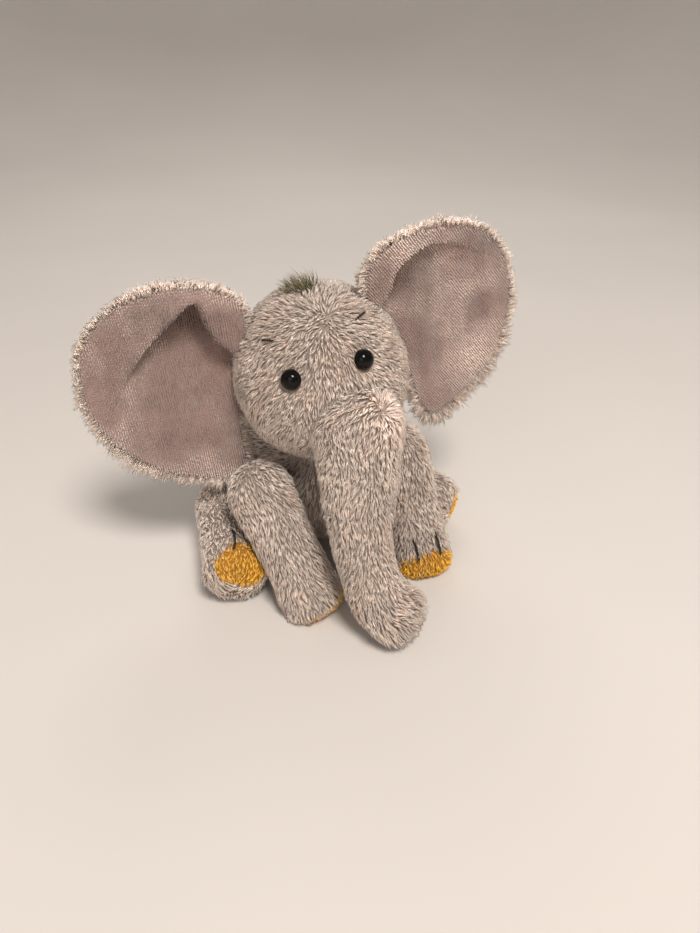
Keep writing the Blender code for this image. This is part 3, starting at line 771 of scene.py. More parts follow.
def build_torso():
    ball, triangles = unit_ball(6)
    points = torso_points(ball)
    points += unit(points - (RUMP + CHEST) / 2) * (waves(points, 0.02, 3) * 0.0004)[:, None]
    skin = make_object("torso_plush", press_flat(points, TORSO_CLEARANCE), triangles, GREY_CLOTH)
    roots, normals = scatter(skin, PILE_SPACING, 31)
    shown = normals[:, 2] > -0.85
    roots, normals = roots[shown], normals[shown]
    flow = unit(roots - NECK) + np.array((0.0, 0.15, -0.7))
    pile = grow("torso_pile", roots, normals, flow, GREY_PILE, seed=32)
    dress(skin, pile, "plush", ("body",), "torso_skin")


def build_neck():
    """A short furry sleeve round the ball of filling, hidden under the chin."""
    rows = np.array((
        (-0.0035, -0.04, 0.056, 0.017),
        (-0.004, -0.041, 0.064, 0.0158),
        (-0.004, -0.041, 0.072, 0.0158),
        (-0.0045, -0.042, 0.08, 0.017),
    ))
    points, triangles = tube_shape(rounded(smooth_path(rows, 5), 0.004, 0.004, 4))
    skin = make_object("neck_plush", points, triangles, GREY_CLOTH)
    roots, normals = scatter(skin, PILE_SPACING * 1.2, 41)
    flow = np.broadcast_to((0.0, 0.0, -1.0), roots.shape)
    pile = grow("neck_pile", roots, normals, flow, GREY_PILE, length=0.0045, seed=42)
    for piece in (skin, pile):
        settle(piece, "plush", "neck")


# ---- head


def face_place(width, height):
    """A point on the face and the way straight out of it, in the model's frame."""
    share = 1 - (width / HEAD_HALF[0]) ** 2 - (height / HEAD_HALF[2]) ** 2
    point = np.array((width, -HEAD_HALF[1] * math.sqrt(share), height))
    return from_head(point), unit(point / HEAD_HALF**2) @ HEAD_AXES.T


EYES = {side_name: face_place(side * EYE_SPREAD, EYE_RISE) for side_name, side in SIDES.items()}


def head_points(ball):
    """The egg of the head, with cheeks, brow, eye hollows and a soft root for the trunk."""
    local = ball * HEAD_HALF
    outward = unit(local / HEAD_HALF**2)
    muzzle = to_head(MUZZLE)
    from_muzzle = distance_to(local, muzzle)
    above = smooth_share(local[:, 2] - muzzle[2], -0.01, 0.02)
    swell = 0.0016 * above * falloff(from_muzzle - 0.019, 0.009)
    for side in SIDES.values():
        cheek = np.array((side * 0.025, -0.024, -0.01))
        swell += 0.0018 * falloff(distance_to(local, cheek), 0.014)
        eye = np.array((side * EYE_SPREAD, -0.0322, EYE_RISE))
        swell -= 0.001 * falloff(distance_to(local, eye), 0.007)
    swell += waves(local, 0.018, 7) * 0.0004
    return from_head(local + outward * swell[:, None])


def build_head():
    ball, triangles = unit_ball(6)
    skin = make_object("head_plush", head_points(ball), triangles, GREY_CLOTH)
    roots, normals = scatter(skin, FACE_SPACING, 51)
    kept = distance_to(roots, MUZZLE) >= MUZZLE_RADIUS - 0.002
    for centre, _ in EYES.values():
        kept &= distance_to(roots, centre) >= EYE_RADIUS + 0.0002
    roots, normals = roots[kept], normals[kept]
    local = to_head(roots)
    flow = unit(local - WHORL)
    flow[:, 2] -= 0.45 * smooth_share(-local[:, 1], -0.02, 0.02)
    flow[:, 0] += 0.35 * np.sign(local[:, 0]) * smooth_share(np.abs(local[:, 0]), 0.012, 0.03)
    length = np.full(len(roots), PILE_LENGTH * 0.92)
    lift = np.full(len(roots), 0.85)
    for centre, _ in EYES.values():
        distance = distance_to(roots, centre)
        length *= 0.82 + 0.18 * smooth_share(distance, 0.005, 0.012)
        lift *= 0.8 + 0.2 * smooth_share(distance, 0.005, 0.011)
    lift *= 1 + 0.9 * falloff(distance_to(local, WHORL), 0.006)
    front = smooth_share(-local[:, 1], 0.0, 0.03)
    bridge = falloff(distance_to(local, (0.01, -0.036, 0.02)), 0.01)
    tint = 0.3 * front * np.clip(bridge + 0.25 * waves(local, 0.02, 9), 0, 1)
    pile = grow("head_pile", roots, normals, flow @ HEAD_AXES.T, GREY_PILE, length=length,
                lift=lift, width=FACE_WIDTH, tint=tint, swirl=0.55, seed=52)
    dress(skin, pile, "plush", ("head",), "head_skin")


def build_eye(side_name):
    """A glossy dome with a rolled rim on its own shank."""
    centre, out = EYES[side_name]
    profile = []
    for step in range(1, 13):
        angle = math.pi / 2 * (1 - step / 12)
        height = EYE_RIM_HEIGHT + (EYE_HEIGHT - EYE_RIM_HEIGHT) * math.sin(angle)
        profile.append((EYE_RADIUS * math.cos(angle), height))
    profile += [
        (EYE_RADIUS + 0.00015, 0.0005), (EYE_RADIUS, 0.0002), (EYE_SHANK_RADIUS, 0.0),
        (EYE_SHANK_RADIUS, -EYE_SHANK_LENGTH),
    ]
    sides = 40
    side_way = unit(np.cross(out, (0.0, 0.0, 1.0)))
    spokes = ring_spokes(sides, side_way, np.cross(out, side_way))
    points = [centre + out * height + spokes * radius for radius, height in profile]
    points = np.vstack((*points, centre + out * EYE_HEIGHT, centre - out * EYE_SHANK_LENGTH))
    triangles = capped_triangles(len(profile), sides)
    eye = make_object("eye_dome_" + side_name, points, triangles, EYE_GLOSS)
    settle(eye, "eye", "head")
    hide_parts("eye_" + side_name)


def twisted_thread(name, points, radius):
    """A thread of plies laid round a smooth line."""
    line = smooth_path(points, 8)
    travel = unit(np.gradient(line, axis=0))
    side = unit(np.cross(travel, (0.21, 0.33, 0.92)))
    other = np.cross(travel, side)
    run = run_length(line)
    shapes = []
    start = 0
    for ply in range(THREAD_PLIES):
        angle = TAU * (ply / THREAD_PLIES + run * 1000 * THREAD_TURNS_PER_MM)[:, None]
        middle = line + (side * np.cos(angle) + other * np.sin(angle)) * radius * 0.5
        rows = np.column_stack((middle, np.full(len(line), radius * 0.56)))
        points, triangles = tube_shape(rounded(rows, radius * 0.5, radius * 0.5, 3), 8)
        shapes.append((points, triangles + start))
        start += len(points)
    points = np.vstack([shape[0] for shape in shapes])
    return make_object(name, points, np.vstack([shape[1] for shape in shapes]), DARK_THREAD)


def build_brow(side_name):
    points = []
    for share in np.linspace(-0.5, 0.5, 5):
        place, out = face_place(SIDES[side_name] * (BROW_SPREAD + BROW_LENGTH * share), BROW_RISE)
        points.append(place + out * (0.0026 - 0.008 * abs(share) ** 2))
    stitch = twisted_thread("brow_thread_" + side_name, points, 0.00055)
    settle(stitch, "thread", "head")
    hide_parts("brow_stitch_" + side_name)


def build_hair():
    """A tuft of longer olive pile that stands up from the crown."""
    ball, triangles = unit_ball(4)
    local = ball * np.array((0.0075, 0.0065, 0.003)) + np.array((0.0, 0.0, HEAD_HALF[2] - 0.001))
    base = make_object("hair_base", from_head(local), triangles, OLIVE_CLOTH)
    rng = np.random.default_rng(61)
    roots, normals = scatter(base, 0.00105, 62)
    kept = to_head(roots)[:, 2] > HEAD_HALF[2] - 0.0008
    roots, normals = roots[kept], normals[kept]
    local = to_head(roots)
    spread = np.column_stack((local[:, :2] * 38, np.full(len(local), 0.9)))
    spread += rng.normal(0, 0.36, spread.shape) + np.array((-0.45, 0.2, 0.0))
    length = 0.0082 * rng.uniform(0.35, 1.0, len(roots)) ** 0.5 * rng.uniform(0.7, 1.3, len(roots))
    pile = grow("hair_pile", roots, normals, spread @ HEAD_AXES.T, OLIVE_PILE, length=length,
                width=0.00045, lift=1.3, clump=0.3, clump_size=0.0026, droop=0.0,
                tint=rng.uniform(0, 0.5, len(roots)), seed=63)
    dress(base, pile, "olive", ("head",), "hair_tuft")


# ---- trunk


TRUNK_PATH = smooth_path(TRUNK, TRUNK_STEPS)


def trunk_flow(points):
    """The way down the trunk at each point."""
    middles = TRUNK_PATH[:, :3]
    travel = unit(np.gradient(middles, axis=0))
    return travel[np.argmin(distances(points, middles), axis=1)]


def build_trunk():
    """Two lengths of one trunk, the upper next to the head and the lower after it."""
    seam = TRUNK_SPLIT - TRUNK_LAP
    seam_place = TRUNK_PATH[seam, :3]
    swing_way = unit(TRUNK_PATH[1, :3] - TRUNK_PATH[0, :3])
    before, after = TRUNK_BEND_ROWS
    bend_way = unit(TRUNK_PATH[after, :3] - TRUNK_PATH[before, :3])
    before, after = TRUNK_SWING_BEND
    swing = ("head", "trunk_upper", MUZZLE - swing_way * before, MUZZLE + swing_way * after)
    before, after = TRUNK_CURL_BEND
    curl = (
        "trunk_upper", "trunk_lower", TRUNK_BEND - bend_way * before, TRUNK_BEND + bend_way * after
    )
    lengths = (
        ("upper", -1, TRUNK_PATH[: seam + 1], MUZZLE_RADIUS, 0.002, swing),
        ("lower", 1, TRUNK_PATH[seam:], 0.002, TRUNK_TIP_ROUND, curl),
    )
    for order, (part, below, rows, start_round, end_round, bend) in enumerate(lengths):
        points, triangles = tube_shape(rounded(rows, start_round, end_round))
        nearest = rows[np.argmin(distances(points, rows[:, :3]), axis=1), :3]
        swell = waves(points, 0.012, 71) * 0.0005
        swell = swell + 0.0016 * falloff(distance_to(points, BRIDGE_PLACE), BRIDGE_REACH)
        points = points + unit(points - nearest) * swell[:, None]
        points = press_flat(points, TRUNK_CLEARANCE)
        skin = make_object(f"trunk_{part}_plush", points, triangles, GREY_CLOTH)
        roots, normals = scatter(skin, FACE_SPACING, 72 + order)
        local = to_head(roots) / (HEAD_HALF - 0.003)
        kept = (np.linalg.norm(local, axis=1) > 1) & (roots[:, 2] > TRUNK_PILE_FLOOR)
        kept &= below * ((roots - seam_place) @ unit(bend_way)) > -0.0005
        roots, normals = roots[kept], normals[kept]
        bridge = falloff(distance_to(roots, BRIDGE_PLACE), BRIDGE_REACH)
        flow = trunk_flow(roots) + unit(roots - BRIDGE_PLACE) * (0.2 + 1.6 * bridge)[:, None]
        end = smooth_share(-roots[:, 1], 0.116, 0.128) * smooth_share(0.03 - roots[:, 2], 0.0, 0.01)
        length = PILE_LENGTH * (0.95 + 0.25 * bridge + 0.3 * end)
        pile = grow(f"trunk_{part}_pile", roots, normals, flow, GREY_PILE, length=length,
                    width=FACE_WIDTH, lift=0.8 + 0.9 * end + 0.7 * bridge, swirl=0.55,
                    tint=0.95 * bridge, shade=1.3 * bridge, seed=76 + order)
        dress(skin, pile, "plush", bend, f"trunk_{part}_skin")


# ---- ears


def head_half_width(height):
    return HEAD_HALF[0] * np.sqrt(1 - (height / HEAD_HALF[2]) ** 2)


def ear_edge(side_name):
    """The ear's smooth outline as (width, height), its seam against the side of the head."""
    free_edge = smooth_path(EAR_OUTLINE[side_name], EAR_STEPS)
    heights = np.linspace(free_edge[-1, 1], free_edge[0, 1], EAR_SEAM_COUNT + 2)[1:-1]
    for end in (0, -1):
        free_edge[end, 0] = head_half_width(free_edge[end, 1]) - EAR_SEAM_TUCK
    seam = np.column_stack((head_half_width(heights) - EAR_SEAM_TUCK, heights))
    return np.vstack((free_edge, seam))


EAR_EDGE = {side_name: ear_edge(side_name) for side_name in EAR_OUTLINE}


def polyline_distance(flat, line):
    """Distance to a line of points, and the side of it: above 0 on its left."""
    best = np.full(len(flat), 1e9)
    side = np.zeros(len(flat))
    for start, end in zip(line, line[1:]):
        run = end - start
        share = np.clip(((flat - start) @ run) / (run @ run), 0, 1)
        offset = flat - start - share[:, None] * run
        distance = np.linalg.norm(offset, axis=1)
        closer = distance < best
        best = np.where(closer, distance, best)
        cross = run[0] * offset[:, 1] - run[1] * offset[:, 0]
        side = np.where(closer, np.sign(cross), side)
    return best, side


def ear_fold(side_name, flat):
    """How far the fold pushes the ear forward (above 0) or back, at places on it."""
    rows = smooth_path(EAR_FOLD[side_name], 5)
    distance, side = polyline_distance(flat, rows[:, :2])
    # The crease's height near each place: the nearest rows count most.
    weights = np.exp((distance[:, None] - distances(flat, rows[:, :2])) / 0.004)
    height = weights @ rows[:, 2] / weights.sum(axis=1)
    signed = distance * side * SIDES[side_name]
    ahead, behind = np.maximum(signed, 0), np.maximum(-signed, 0)
    forward = smooth_share(signed, -0.0006, 0.0014) * (0.5 + 0.5 * np.exp(-ahead / 0.012))
    back = np.exp(-behind / 0.01) * (1 - smooth_share(signed, -0.0012, 0.001))
    return height * (forward - 0.75 * back)


def ear_depth(side_name, flat):
    """How far the ear stands behind the head's middle plane."""
    width, height = flat[:, 0], flat[:, 1]
    curl = EAR_CURL[side_name] * np.maximum(0, (height - EAR_CURL_START) / EAR_CURL_REACH) ** 2
    depth = EAR_SETBACK + EAR_SWEEP[side_name] * (width - EAR_SWEEP_START) - curl
    place = np.column_stack((flat, np.zeros(len(flat))))
    ripples = waves(place, 0.03, 81 + SEED_SHIFT[side_name]) * 0.0008
    return depth - ear_fold(side_name, flat) + ripples


def on_ear(side_name, flat, shift):
    depth = ear_depth(side_name, flat) + shift
    return from_head(np.column_stack((SIDES[side_name] * flat[:, 0], depth, flat[:, 1])))


def hem_width(low):
    """The hem between the lining and the ear's edge, wider where the edge faces down."""
    return EAR_HEM_TOP + (EAR_HEM_BOTTOM - EAR_HEM_TOP) * low


def inward(flat):
    """The lining's outline: the ear's, drawn in by its hem."""
    ahead = np.roll(flat, -1, axis=0) - np.roll(flat, 1, axis=0)
    normal = unit(np.column_stack((ahead[:, 1], -ahead[:, 0])))
    towards = np.sum(normal * (EAR_MIDDLE - flat), axis=1)
    normal[towards < 0] *= -1
    hem = hem_width(smooth_share(normal[:, 1], 0.0, 0.7))
    for corner in (flat[0], flat[EAR_FREE_COUNT - 1]):
        hem *= smooth_share(distance_to(flat, corner), 0.0, EAR_HEM_TAPER)
    return flat + normal * hem[:, None]


def inside_outline(flat, outline):
    inside = np.zeros(len(flat), bool)
    for start, end in zip(outline, np.roll(outline, -1, axis=0)):
        crosses = (start[1] > flat[:, 1]) != (end[1] > flat[:, 1])
        rise = end[1] - start[1]
        reach = start[0] + (flat[:, 1] - start[1]) * (end[0] - start[0]) / (rise if rise else 1e-12)
        inside ^= crosses & (flat[:, 0] < reach)
    return inside


def ear_shell(name, side_name, outline, depths, rim, material):
    """A closed shell over the outline, between two depths, with a rounded rim."""
    front, back = depths
    shares = np.linspace(1, 0, EAR_RINGS + 1)[:-1]
    sides = len(outline)
    centre = EAR_MIDDLE[None]
    middle_depth = (front + back) / 2
    layers = []
    for face_depth in (front, back):
        for share in shares:
            flat = centre + (outline - centre) * share
            edge = math.sqrt(max(0.0, 1 - (1 - min((1 - share) / rim, 1.0)) ** 2))
            depth = middle_depth + (face_depth - middle_depth) * edge
            layers.append(on_ear(side_name, flat, depth))
    half = len(shares)
    points = np.vstack((*layers, on_ear(side_name, centre, front), on_ear(side_name, centre, back)))
    count = 2 * half * sides
    face = ring_triangles(half, sides)
    front_side = np.vstack((face, fan_triangles((half - 1) * sides, sides, count, False)))
    back_side = np.vstack((
        face[:, ::-1] + half * sides, fan_triangles((2 * half - 1) * sides, sides, count + 1, True)
    ))
    # Both faces start at the same rim, so the back uses the front's rim points.
    rim_points = np.arange(half * sides, (half + 1) * sides)
    back_side = np.where(np.isin(back_side, rim_points), back_side - half * sides, back_side)
    triangles = np.vstack((front_side, back_side))
    used = np.ones(len(points), bool)
    used[rim_points] = False
    renumber = np.cumsum(used) - 1
    made = make_object(name, points[used], renumber[triangles], material)
    turn_outwards(made)
    return made


def turn_outwards(made):
    """Turns a closed mesh's faces outwards."""
    shape = bmesh.new()
    shape.from_mesh(made.data)
    bmesh.ops.recalc_face_normals(shape, faces=shape.faces)
    shape.to_mesh(made.data)
    shape.free()
    made.data.shade_smooth()


def ear_nap(side_name, outline):
    """Rows of short nap over the lining."""
    seed = 91 + SEED_SHIFT[side_name]
    rng = np.random.default_rng(seed)
    way = np.array(EAR_NAP_WAY[side_name])
    row_way = np.array((-way[1], way[0]))
    steps = np.arange(-90, 91)
    along, across = np.meshgrid(*(steps * spacing for spacing in EAR_NAP_SPACING), indexing="ij")
    flat = EAR_MIDDLE + along.reshape(-1, 1) * way + across.reshape(-1, 1) * row_way
    flat = flat + rng.normal(0, 0.0001, flat.shape)
    flat = flat[inside_outline(flat, outline)]
    roots = on_ear(side_name, flat, -EAR_NAP_STAND)
    step = 0.0004
    wide, high = (
        on_ear(side_name, flat + shift, -EAR_NAP_STAND) - roots for shift in ((step, 0), (0, step))
    )
    normals = unit(np.cross(wide, high)) * SIDES[side_name]
    flow = (wide * way[0] + high * way[1]) / step
    place = np.column_stack((flat, np.zeros(len(flat))))
    # Painted sheen: the nap is paler along the band where it is brushed the other way.
    sheen_band = polyline_distance(flat, smooth_path(EAR_SHEEN_BAND[side_name], 4))[0]
    rim = polyline_distance(flat, outline)[0]
    tint = 0.95 * falloff(sheen_band, 0.006) + 0.45 * falloff(rim, 0.006)
    tint = np.clip(0.12 + tint + 0.7 * waves(place, 0.024, seed + 3), 0, 1)
    # Painted shade: the nap is darkened round the pocket beside the fold.
    pocket_shade = falloff(distance_to(flat, EAR_POCKET_SHADE[side_name]), 0.011)
    shade = -3.6 * pocket_shade - 0.5 + 2.8 * waves(place, 0.021, seed + 7)
    return grow("ear_nap_" + side_name, roots, normals, flow, LINING_PILE, length=EAR_NAP_LENGTH,
                width=EAR_NAP_WIDTH, lift=0.6, clump=0.0, swirl=0.16, stray=0.07, tint=tint,
                droop=0.0, shade=shade, seed=seed + 5)


def ear_fringe(side_name):
    """Long pile that stands out from the rim all round the free edge."""
    seed = 101 + SEED_SHIFT[side_name]
    rng = np.random.default_rng(seed)
    side = SIDES[side_name]
    count = EAR_FRINGE_COUNT
    line = EAR_EDGE[side_name][:EAR_FREE_COUNT]
    run = run_length(line)
    at = rng.uniform(0, run[-1], count)
    behind, flat, ahead = (
        np.column_stack([np.interp(at + step, run, line[:, k]) for k in range(2)])
        for step in (-0.0005, 0.0, 0.0005)
    )
    travel = unit(ahead - behind)
    out = np.column_stack((-travel[:, 1], travel[:, 0]))
    out *= np.sign(np.sum(out * (flat - EAR_MIDDLE), axis=1))[:, None]
    low = smooth_share(-out[:, 1], -0.2, 0.6)
    inset = rng.uniform(0.0, 1.0, count) * (hem_width(low) + 0.0018)
    shift = rng.uniform(0.0, 1.0, count) * (0.0049 - 0.0008 * low) - (0.0027 - 0.0008 * low)
    roots = on_ear(side_name, flat - out * inset[:, None], shift)
    slope = rng.normal(0.0, 0.24, count) + (shift - EAR_FRINGE_MIDDLE) * 160
    along = np.column_stack((at, np.zeros(count), np.zeros(count)))
    length = EAR_FRINGE_LENGTH + EAR_FRINGE_EXTRA * low
    length *= 1 + 0.35 * waves(along, 0.012, seed + 9)
    length *= np.where(rng.random(count) < 0.16, 1.75, 1.0)
    spread = np.column_stack((side * out[:, 0], slope, out[:, 1]))
    flow = unit(spread) @ HEAD_AXES.T
    facing = np.where(shift < EAR_FRINGE_MIDDLE, -1.0, 1.0)
    normals = np.column_stack((np.zeros(count), facing, np.zeros(count))) @ HEAD_AXES.T
    return grow("ear_fringe_" + side_name, roots, normals, flow, GREY_PILE, length=length,
                lift=0.22, clump=0.62, clump_size=0.003, width=0.00065, swirl=0.35, droop=0.1,
                shade=0.2 - 0.9 * low, seed=seed + 4)


def build_ear(side_name):
    side = SIDES[side_name]
    edge = EAR_EDGE[side_name]
    outline = inward(edge)
    outline[EAR_FREE_COUNT:] = edge[EAR_FREE_COUNT:] + (0.0003, 0.0)
    back = ear_shell(
        "ear_cloth_" + side_name, side_name, edge, EAR_CLOTH_DEPTHS, EAR_CLOTH_RIM, GREY_CLOTH
    )
    lining = ear_shell(
        "ear_inner_" + side_name, side_name, outline, EAR_LINING_DEPTHS, EAR_LINING_RIM,
        LINING_CLOTH,
    )
    roots, normals = scatter(back, PILE_SPACING, 111)
    kept = normals @ HEAD_AXES[:, 1] > 0.25
    roots, normals = roots[kept], normals[kept]
    seam_place = from_head((side * 0.038, EAR_SETBACK, 0.01))
    flow = unit(roots - seam_place) + np.array((0.0, 0.0, -0.5))
    pile = grow("ear_pile_" + side_name, roots, normals, flow, GREY_PILE, lift=0.6, seed=112)
    fringe = ear_fringe(side_name)
    nap = ear_nap(side_name, outline)
    width, reach = EAR_BEND
    start = from_head((side * width, EAR_SETBACK, 0.01))
    bend = ("head", "ear_" + side_name, start, start + side * HEAD_AXES[:, 0] * reach)
    for piece in (back, pile, fringe):
        settle(piece, "plush", *bend)
    for piece in (lining, nap):
        settle(piece, "lining", *bend)
    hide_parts("ear_back_" + side_name)
    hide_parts("ear_lining_" + side_name)


# ---- legs


def limb_frame(root, sole, toes):
    """Axes of a limb: its -Z runs to the sole and its -Y leans to the toes, as columns."""
    z_axis = unit(root - sole)
    y_axis = -unit(toes - z_axis * (toes @ z_axis))
    x_axis = np.cross(y_axis, z_axis)
    return np.column_stack((x_axis, y_axis, z_axis))


def limb_radius(profile, distance):
    last_distance, last_radius = profile[-1]
    if distance >= last_distance:
        return last_radius * math.sqrt(1 - min((distance - last_distance) / SOLE_ROUND, 1) ** 2)
    return float(np.interp(distance, [row[0] for row in profile], [row[1] for row in profile]))


def sole_seam(profile, seam_backs):
    """A point on the seam between leg and sole, and its normal away from the sole."""
    length = profile[-1][0] + SOLE_ROUND
    radius = profile[-1][1]
    toe = np.array((0.0, -radius, -(length - seam_backs[0])))
    heel = np.array((0.0, radius, -(length - seam_backs[1])))
    normal = unit(np.cross((1.0, 0.0, 0.0), heel - toe))
    return toe, normal if normal[2] > 0 else -normal


def cut_in_two(points, triangles, point, normal, keep_above):
    """The part of a closed mesh on one side of a plane, with its cut closed."""
    mesh = bpy.data.meshes.new("cut")
    mesh.from_pydata(points.tolist(), [], triangles.tolist())
    shape = bmesh.new()
    shape.from_mesh(mesh)
    bpy.data.meshes.remove(mesh)
    everything = [*shape.verts, *shape.edges, *shape.faces]
    cut = bmesh.ops.bisect_plane(
        shape, geom=everything, plane_co=point, plane_no=normal,
        clear_inner=keep_above, clear_outer=not keep_above,
    )
    rim = [item for item in cut["geom_cut"] if isinstance(item, bmesh.types.BMEdge)]
    bmesh.ops.holes_fill(shape, edges=rim)
    bmesh.ops.triangulate(shape, faces=shape.faces)
    bmesh.ops.recalc_face_normals(shape, faces=shape.faces)
    shape.verts.index_update()
    found = np.array([vert.co[:] for vert in shape.verts])
    faces = np.array([[vert.index for vert in face.verts] for face in shape.faces])
    shape.free()
    return found, faces


def toe_stitch_points(profile, toe, side):
    width = side * TOE_STITCH_SPREAD
    points = []
    for share in np.linspace(0, 1, 9):
        distance = -toe[2] + TOE_STITCH_LENGTH * (share - TOE_STITCH_SHARE_ABOVE)
        radius = limb_radius(profile, distance)
        stand = TOE_STITCH_STAND * math.sin(math.pi * share) ** 0.6
        points.append((width, -math.sqrt(radius**2 - width**2) - stand, -distance))
    return np.array(points)


def leg_rows(profile, cloth):
    """Rows of x, y, z and radius down a leg, this far inside its surface."""
    return smooth_path([(0.0, 0.0, -distance, radius - cloth) for distance, radius in profile], 6)


def leg_filling(name, profile, to_world):
    """The leg's filling, inside its cloth and pressed flat with the sole where it sits."""
    rows = leg_rows(profile, LEG_CLOTH)
    points, triangles = tube_shape(rounded(rows, rows[0, 3], SOLE_ROUND - LEG_CLOTH))
    world = press_flat(to_world(points), PILE_CLEARANCE + LEG_CLOTH)
    return make_object(name + "_filling", world, triangles, FILLING)


# Each half of a leg: the names of its skin, pile and CAD node after the leg's, its slot, its side
# of the sole's seam, its looks, the pile's length and lift, and how full it is
LEG_HALVES = (
    ("_plush", "_pile", "_skin", "plush", 1, GREY_CLOTH, GREY_PILE, PILE_LENGTH, 0.75, 0.9),
    ("_pad", "_pad_pile", "_sole", "amber", -1, AMBER_CLOTH, AMBER_PILE, SOLE_PILE_LENGTH, 0.9, 0.8),
)


def build_leg(name):
    profile, root, sole, toes, seam_backs = LEGS[name]
    root, sole, toes = (np.array(place) for place in (root, sole, toes))
    axes = limb_frame(root, sole, toes)

    def to_world(local):
        return root + local @ axes.T

    points, triangles = tube_shape(rounded(leg_rows(profile, 0.0), profile[0][1], SOLE_ROUND))
    toe, normal = sole_seam(profile, seam_backs)
    seed = 120 + 10 * list(LEGS).index(name)
    swell = waves(points + seed, 0.014, seed) * 0.0005
    points = points + swell[:, None] * unit(points * (1, 1, 0))
    stitches = {
        stitch_name: to_world(toe_stitch_points(profile, toe, side))
        for stitch_name, side in (("inner", 1), ("outer", -1))
    }
    down = -axes[:, 2]
    bend = ("body", name, root - down * LEG_BEND[0], root + down * LEG_BEND[1])
    for order, look in enumerate(LEG_HALVES):
        skin_name, pile_name, node, slot, side, cloth, pile_look, length, lift, fill = look
        shift = normal * side * SOLE_SEAM_GAP
        half_points, half_triangles = cut_in_two(points, triangles, toe + shift, normal, side > 0)
        world = press_flat(to_world(half_points), PILE_CLEARANCE)
        skin = make_object(name + skin_name, world, half_triangles, cloth)
        roots, normals = scatter(skin, PILE_SPACING, seed + order)
        cut_way = axes @ normal
        kept = np.abs((roots - to_world(toe + shift)) @ cut_way) > 0.0003
        kept |= np.abs(normals @ cut_way) < 0.9
        for line in stitches.values():
            kept &= distances(roots, line).min(axis=1) > STITCH_PARTING
        roots, normals = roots[kept], normals[kept]
        flow = np.broadcast_to(down, roots.shape) + unit(roots - root) * 0.1
        pile = grow(name + pile_name, roots, normals, flow, pile_look, length=length, lift=lift,
                    seed=seed + 3 + order)
        dress(skin, pile, slot, bend, name + node)
    for stitch_name, line in stitches.items():
        stitch = twisted_thread(f"{name}_toe_thread_{stitch_name}", line[::2], TOE_STITCH_RADIUS)
        settle(stitch, "thread", name)
        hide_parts(f"{name}_toe_stitch_{stitch_name}")
    filling = leg_filling(name, profile, to_world)
    settle(filling, "filling", *bend)
    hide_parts(name + "_stuffing")


# ---- tail


def build_tail():
    way = unit(TAIL_DIRECTION)
    end = TAIL_ROOT + way * TAIL_LENGTH
    rows = np.array((
        (*TAIL_ROOT, TAIL_BALL_RADIUS),
        (*(TAIL_ROOT + way * 0.005), TAIL_RADIUS * 1.05),
        (*(TAIL_ROOT + way * 0.013), TAIL_RADIUS * 0.92),
        (*end, TAIL_RADIUS * 0.8),
    ))
    points, triangles = tube_shape(rounded(smooth_path(rows, 6), TAIL_BALL_RADIUS, 0.002), 24)
    skin = make_object("tail_plush", points, triangles, GREY_CLOTH)
    roots, normals = scatter(skin, PILE_SPACING, 161)
    flow = np.broadcast_to(way, roots.shape)
    pile = grow("tail_pile", roots, normals, flow, GREY_PILE, length=0.0035, lift=0.4, seed=162)
    dress(skin, pile, "plush", ("tail",), "tail_skin")

    ball, triangles = unit_ball(4)
    centre = end + way * TAIL_TUFT_RADIUS
    tuft = make_object("tail_knot", centre + ball * TAIL_TUFT_RADIUS * 0.7, triangles, OLIVE_CLOTH)
    roots, normals = scatter(tuft, 0.001, 163)
    flow = np.broadcast_to(way, roots.shape)
    hairs = grow("tail_tuft_pile", roots, normals, flow, OLIVE_PILE, length=0.0075, width=0.0007,
                 lift=0.5, clump=0.4, seed=164)
    dress(tuft, hairs, "olive", ("tail",), "tail_tuft")


# ---- inside pieces


def dress_inside():
    """The pieces inside the toy keep their CAD shapes and get their own materials."""
    looks = {"stuffing": FILLING, "pellet_pouch": POUCH, "pellet_fill": PELLETS, "washer": WASHER}
    for name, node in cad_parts.items():
        for word, look in looks.items():
            if word in name:
                for material_slot in node.material_slots:
                    material_slot.material = look


# ---- studio


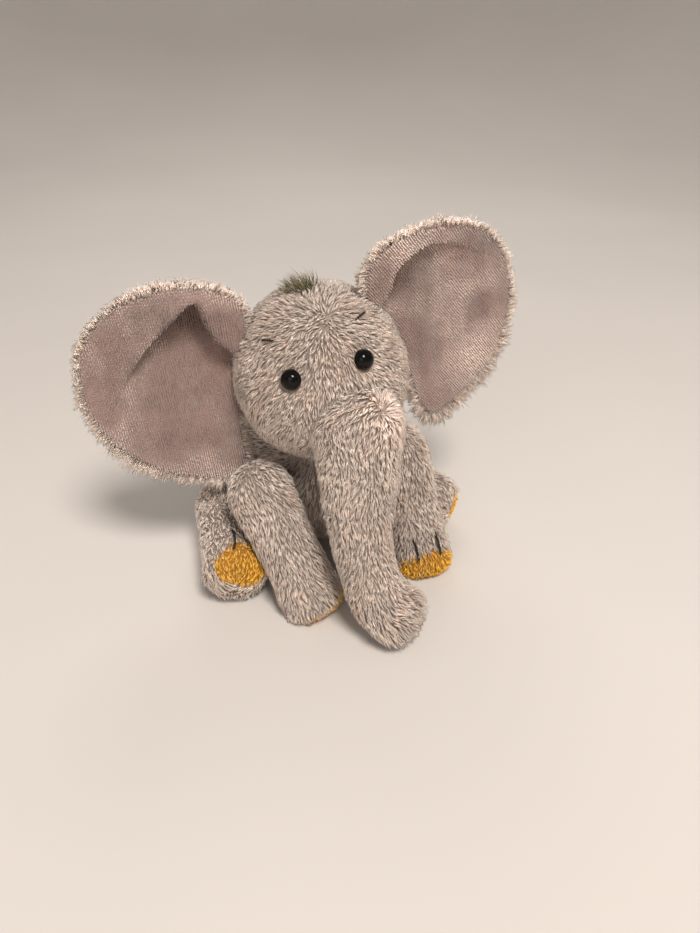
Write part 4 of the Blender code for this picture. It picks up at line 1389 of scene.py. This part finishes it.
def area_light(name, place, size, power, colour):
    light = bpy.data.lights.new(name, "AREA")
    light.shape = "DISK"
    light.size = size
    light.energy = power
    light.color = colour
    lamp = bpy.data.objects.new(name, light)
    bpy.context.scene.collection.objects.link(lamp)
    lamp.location = place
    lamp.rotation_euler = (LIGHT_TARGET - Vector(place)).to_track_quat("-Z", "Y").to_euler()


def build_studio():
    """A plain pale floor that turns up into a pale wall all round, and soft light."""
    profile = [(0.4, 0.0), (0.8, 0.0), (FLOOR_REACH, 0.0)]
    for step in range(1, 17):
        angle = math.pi / 2 * step / 16
        height = FLOOR_TURN * (1 - math.cos(angle))
        profile.append((FLOOR_REACH + FLOOR_TURN * math.sin(angle), height))
    profile.append((FLOOR_REACH + FLOOR_TURN, WALL_TOP))
    sides = 64
    angles = TAU * np.arange(sides) / sides
    around = np.column_stack((np.cos(angles), np.sin(angles), np.zeros(sides)))
    points = [around * radius + (0, 0, height) for radius, height in profile]
    points = np.vstack((*points, np.zeros((1, 3))))
    middle = len(profile) * sides
    triangles = ring_triangles(len(profile), sides)
    triangles = np.vstack((triangles, fan_triangles(0, sides, middle, True)))[:, ::-1]
    floor = make_object("floor", points, triangles, floor_material())

    for light in LIGHTS:
        area_light(*light)
    world = bpy.data.worlds.new("studio")
    world.use_nodes = True
    sky = world.node_tree.nodes["Background"]
    sky.inputs["Color"].default_value = SKY_COLOUR
    sky.inputs["Strength"].default_value = SKY_STRENGTH
    bpy.context.scene.world = world
    bpy.context.scene.view_settings.view_transform = "Standard"


def build_camera():
    data = bpy.data.cameras.new("camera")
    data.lens = CAMERA_LENS
    camera = bpy.data.objects.new("camera", data)
    bpy.context.scene.collection.objects.link(camera)
    camera.location = CAMERA_PLACE
    camera.rotation_euler = (math.pi / 2 - CAMERA_PITCH, 0.0, -CAMERA_YAW)
    bpy.context.scene.camera = camera


build_camera()
build_studio()
build_torso()
build_neck()
build_head()
build_hair()
build_trunk()
for side_name in SIDES:
    build_eye(side_name)
    build_brow(side_name)
    build_ear(side_name)
for leg_name in LEGS:
    build_leg(leg_name)
build_tail()
dress_inside()
